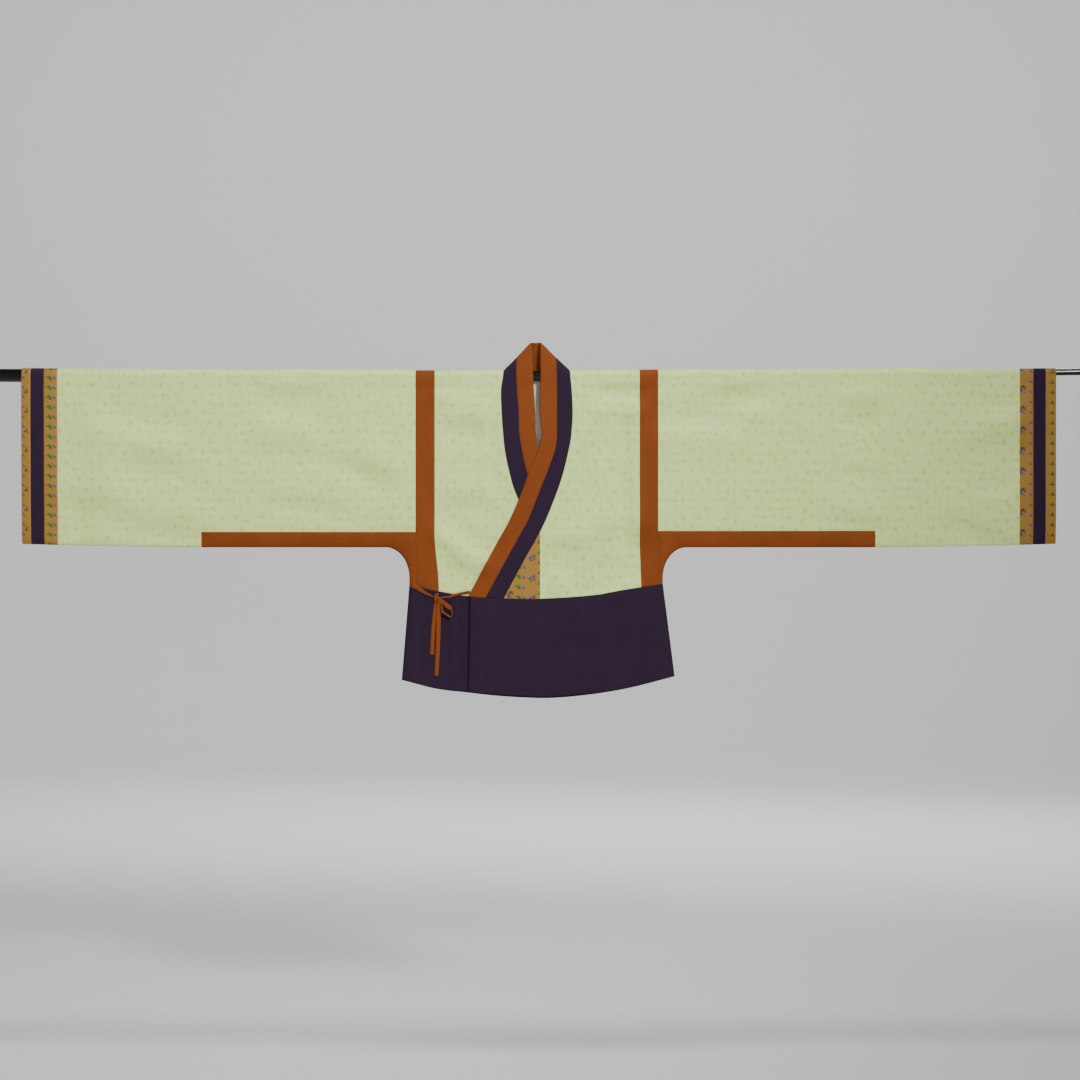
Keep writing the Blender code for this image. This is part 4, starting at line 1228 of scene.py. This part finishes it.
def jacquard():
    """Cream jacquard: small blossoms with pale petals and leaf sprigs, strewn in an uneven half drop."""
    weave = Weave("cream_jacquard")
    half = (BLOSSOM_PERIOD[0] / 2, BLOSSOM_PERIOD[1] / 2)
    masks = {name: [] for name in JACQUARD}
    blossom = [name for name in JACQUARD if name != "leaf"]
    for right, down, names in ((0, 0, blossom), (1, 1, blossom), (1, 0, ["leaf"]), (0, 1, ["leaf"])):
        where, chance = weave.cells(BLOSSOM_PERIOD, (right * half[0], down * half[1]), BLOSSOM_STRAY)
        turned = weave.turned(where, chance)
        for name in names:
            masks[name] += [weave.oval(turned, *oval, soft=JACQUARD_SOFT) for oval in JACQUARD[name]]
    colour = weave.shades(weave.patches(CREAM_PATCHES), CREAM_GROUND)
    raised = weave.times(weave.threads(CREAM_PITCH), CREAM_THREADS)
    patchy = weave.patches(BLOSSOM_PATCHES)
    uneven = weave.math("MULTIPLY_ADD", patchy, 1 - BLOSSOM_LEAST, BLOSSOM_LEAST)
    for name, (share, shade) in JACQUARD_COLOURS.items():
        mask = weave.most(masks[name])
        colour = weave.mix(weave.times(weave.times(mask, uneven), share), colour, srgb(*shade))
        raised = weave.math("ADD", raised, mask)
    return weave.finish(colour, 0.68, raised, CREAM_BUMP, sheen=0.15)


def plain(name, colours, pitch, rough, sheen):
    """A plain weave of one colour with uneven threads."""
    weave = Weave(name)
    uneven = weave.patches(SLUBS, 3.0, SLUB_STRETCH, soft=0.2)
    broad = weave.patches(SHADES, 2.0, SHADE_STRETCH)
    colour = weave.shades(weave.math("MULTIPLY_ADD", uneven, 0.5, weave.times(broad, 0.5)), colours)
    height = weave.math("ADD", weave.threads(pitch), weave.times(uneven, SLUB_HEIGHT))
    return weave.finish(colour, rough, height, PLAIN_BUMP, sheen=sheen, spec=0.15)


def brocade(name, columns):
    """Gold brocade with columns of motifs, each as motif, place across, first height and spacing down."""
    weave = Weave(name)
    colour = weave.shades(weave.patches(GOLD_PATCHES, 3.0), GOLD)
    masks = []
    for motif, x, y, apart in columns:
        where, _ = weave.cells((REPEAT_WIDE, apart), (x, y))
        for oval in MOTIFS[motif]:
            size = (oval.long * OVAL_SCALE[0], oval.wide * OVAL_SCALE[1])
            mask = weave.oval(where, (oval.x, oval.y), oval.turn, size)
            colour = weave.mix(mask, colour, srgb(*THREADS[oval.colour]))
            masks.append(mask)
    height = weave.math("ADD", weave.most(masks), weave.times(weave.threads(GOLD_PITCH), GOLD_THREADS))
    return weave.finish(colour, 0.55, height, GOLD_BUMP, sheen=0.1, spec=0.4)


def rod_paint():
    """Black gloss paint with the faint unevenness of a rolled tube."""
    weave = Weave("rod_black_paint")
    where = weave.node("TexCoord", output=3)
    uneven = weave.node("TexNoise", named={"Vector": where, "Scale": PAINT_PATCHES, "Detail": 3.0})
    colour = weave.shades(uneven, BLACK)
    rough = weave.math("MULTIPLY_ADD", uneven, 0.06, 0.10)
    return weave.finish(colour, rough, uneven, PAINT_BUMP, spec=0.4)


CREAM = Cloth(jacquard(), "cream")
LINING = Cloth(plain("lining_weave", LINING_COLOURS, pitch=0.0006, rough=0.7, sheen=0.1), "cream")
RUST = Cloth(plain("rust_weave", RUST_COLOURS, pitch=0.0008, rough=0.62, sheen=0.1), "rust")
PURPLE = Cloth(plain("purple_weave", PURPLE_COLOURS, pitch=0.0008, rough=0.75, sheen=0.08), "purple")
GUSSET_CLOTH = Cloth(brocade("brocade_gusset", (
    ("shoot", 0.0050, -0.3710, 0.0216), ("rose", -0.0105, -0.3805, 0.0432),
    ("petal", -0.0294, -0.4208, 0.0216), ("leaf", -0.0382, -0.4221, 0.0216),
    ("flower", -0.0560, -0.4600, 0.0432),
)), "brocade")
CUFF_CLOTHS = {
    "inner_right": (("leaf", -1.0235, -0.0661, 0.0206), ("petal", -1.0158, -0.0639, 0.0206)),
    "outer_right": (("stroke", -1.0794, -0.0635, 0.0206), ("sprig", -1.0715, -0.0740, 0.0412)),
    "inner_left": (("flower", 1.0206, -0.0707, 0.0432), ("petal", 1.0366, -0.0740, 0.0216)),
    "outer_left": (("shoot", 1.0838, -0.0773, 0.0214), ("sliver", 1.0708, -0.0655, 0.0428)),
}


# Floor, light and camera


def build_floor():
    """A pale floor that curves up all round."""
    mesh = bmesh.new()
    profile = [(STAGE_FLAT, 0.0)]
    profile += [
        (STAGE_FLAT + STAGE_CURVE * math.sin(a), STAGE_CURVE * (1 - math.cos(a)))
        for a in (math.radians(k * 10) for k in range(1, 10))
    ]
    profile.append((STAGE_FLAT + STAGE_CURVE, STAGE_CURVE + STAGE_WALL))
    turns = [2 * math.pi * k / STAGE_SIDES for k in range(STAGE_SIDES)]
    rings = [
        [mesh.verts.new((r * math.cos(a), r * math.sin(a), FLOOR + z)) for a in turns] for r, z in profile
    ]
    join_rings(mesh, mesh.verts.new((0.0, 0.0, FLOOR)), rings)
    pale = bpy.data.materials.new("stage_pale")
    pale.use_nodes = True
    shader = pale.node_tree.nodes["Principled BSDF"]
    shader.inputs["Base Color"].default_value = STAGE_COLOUR
    shader.inputs["Roughness"].default_value = STAGE_ROUGH
    smooth_object("stage_floor", mesh, pale)


def add_lamp(lamp):
    """A soft area light, or a wide soft spot for the key."""
    spot = lamp.name == "key"
    light = bpy.data.lights.new(lamp.name, "SPOT" if spot else "AREA")
    light.energy = lamp.energy
    light.color = lamp.colour
    if spot:
        light.spot_size, light.spot_blend, light.shadow_soft_size = KEY_CONE, 1.0, lamp.size[0] / 2
    else:
        light.shape = "RECTANGLE"
        light.size, light.size_y = lamp.size
    holder = linked(lamp.name, light)
    holder.location = lamp.place
    toward = Vector(lamp.aim) - Vector(lamp.place)
    holder.rotation_euler = toward.to_track_quat("-Z", "Y").to_euler()


def add_world():
    world = bpy.data.worlds.new("studio")
    bpy.context.scene.world = world
    world.use_nodes = True
    light = world.node_tree.nodes["Background"].inputs
    light["Color"].default_value = WORLD_COLOUR
    light["Strength"].default_value = WORLD_LIGHT


def add_camera():
    """The photo's camera, level and straight in front."""
    lens = bpy.data.cameras.new("photo_camera")
    lens.lens = LENS
    lens.sensor_width = SENSOR
    camera = linked("photo_camera", lens)
    camera.location = (VIEW_X, -CAMERA_AWAY, VIEW_Z)
    camera.rotation_euler = (math.pi / 2, 0, 0)
    bpy.context.scene.camera = camera


def build_stage():
    build_floor()
    for lamp in LIGHTS:
        add_lamp(lamp)
    add_world()
    add_camera()


# The whole scene


def main():
    for side in SIDES:
        build_body(side)
        build_gusset(side)
        build_armhole_band(side)
        build_underarm_strip(side)
        build_sleeve(side)
        build_tube("sleeve_end_" + side.word, CREAM, CREAM_WALL, side, side.sleeve_seam, side.cuffs[0])
        for part, start, end in zip(("inner", "middle", "outer"), side.cuffs, side.cuffs[1:]):
            cloth = PURPLE
            if part != "middle":
                key = part + "_" + side.word
                cloth = Cloth(brocade("brocade_" + key, CUFF_CLOTHS[key]), "brocade")
            build_tube("cuff_" + part + "_" + side.word, cloth, TRIM_WALL, side, start, end)
    build_collar()
    build_waist_panel()
    knot = build_knot()
    for node, table in TIES.items():
        build_strip(node, table)
    build_loop()
    paint = rod_paint()
    for length in ROD:
        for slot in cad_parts[length.name].material_slots:
            slot.material = paint
    build_stage()


main()
bpy.context.view_layer.update()
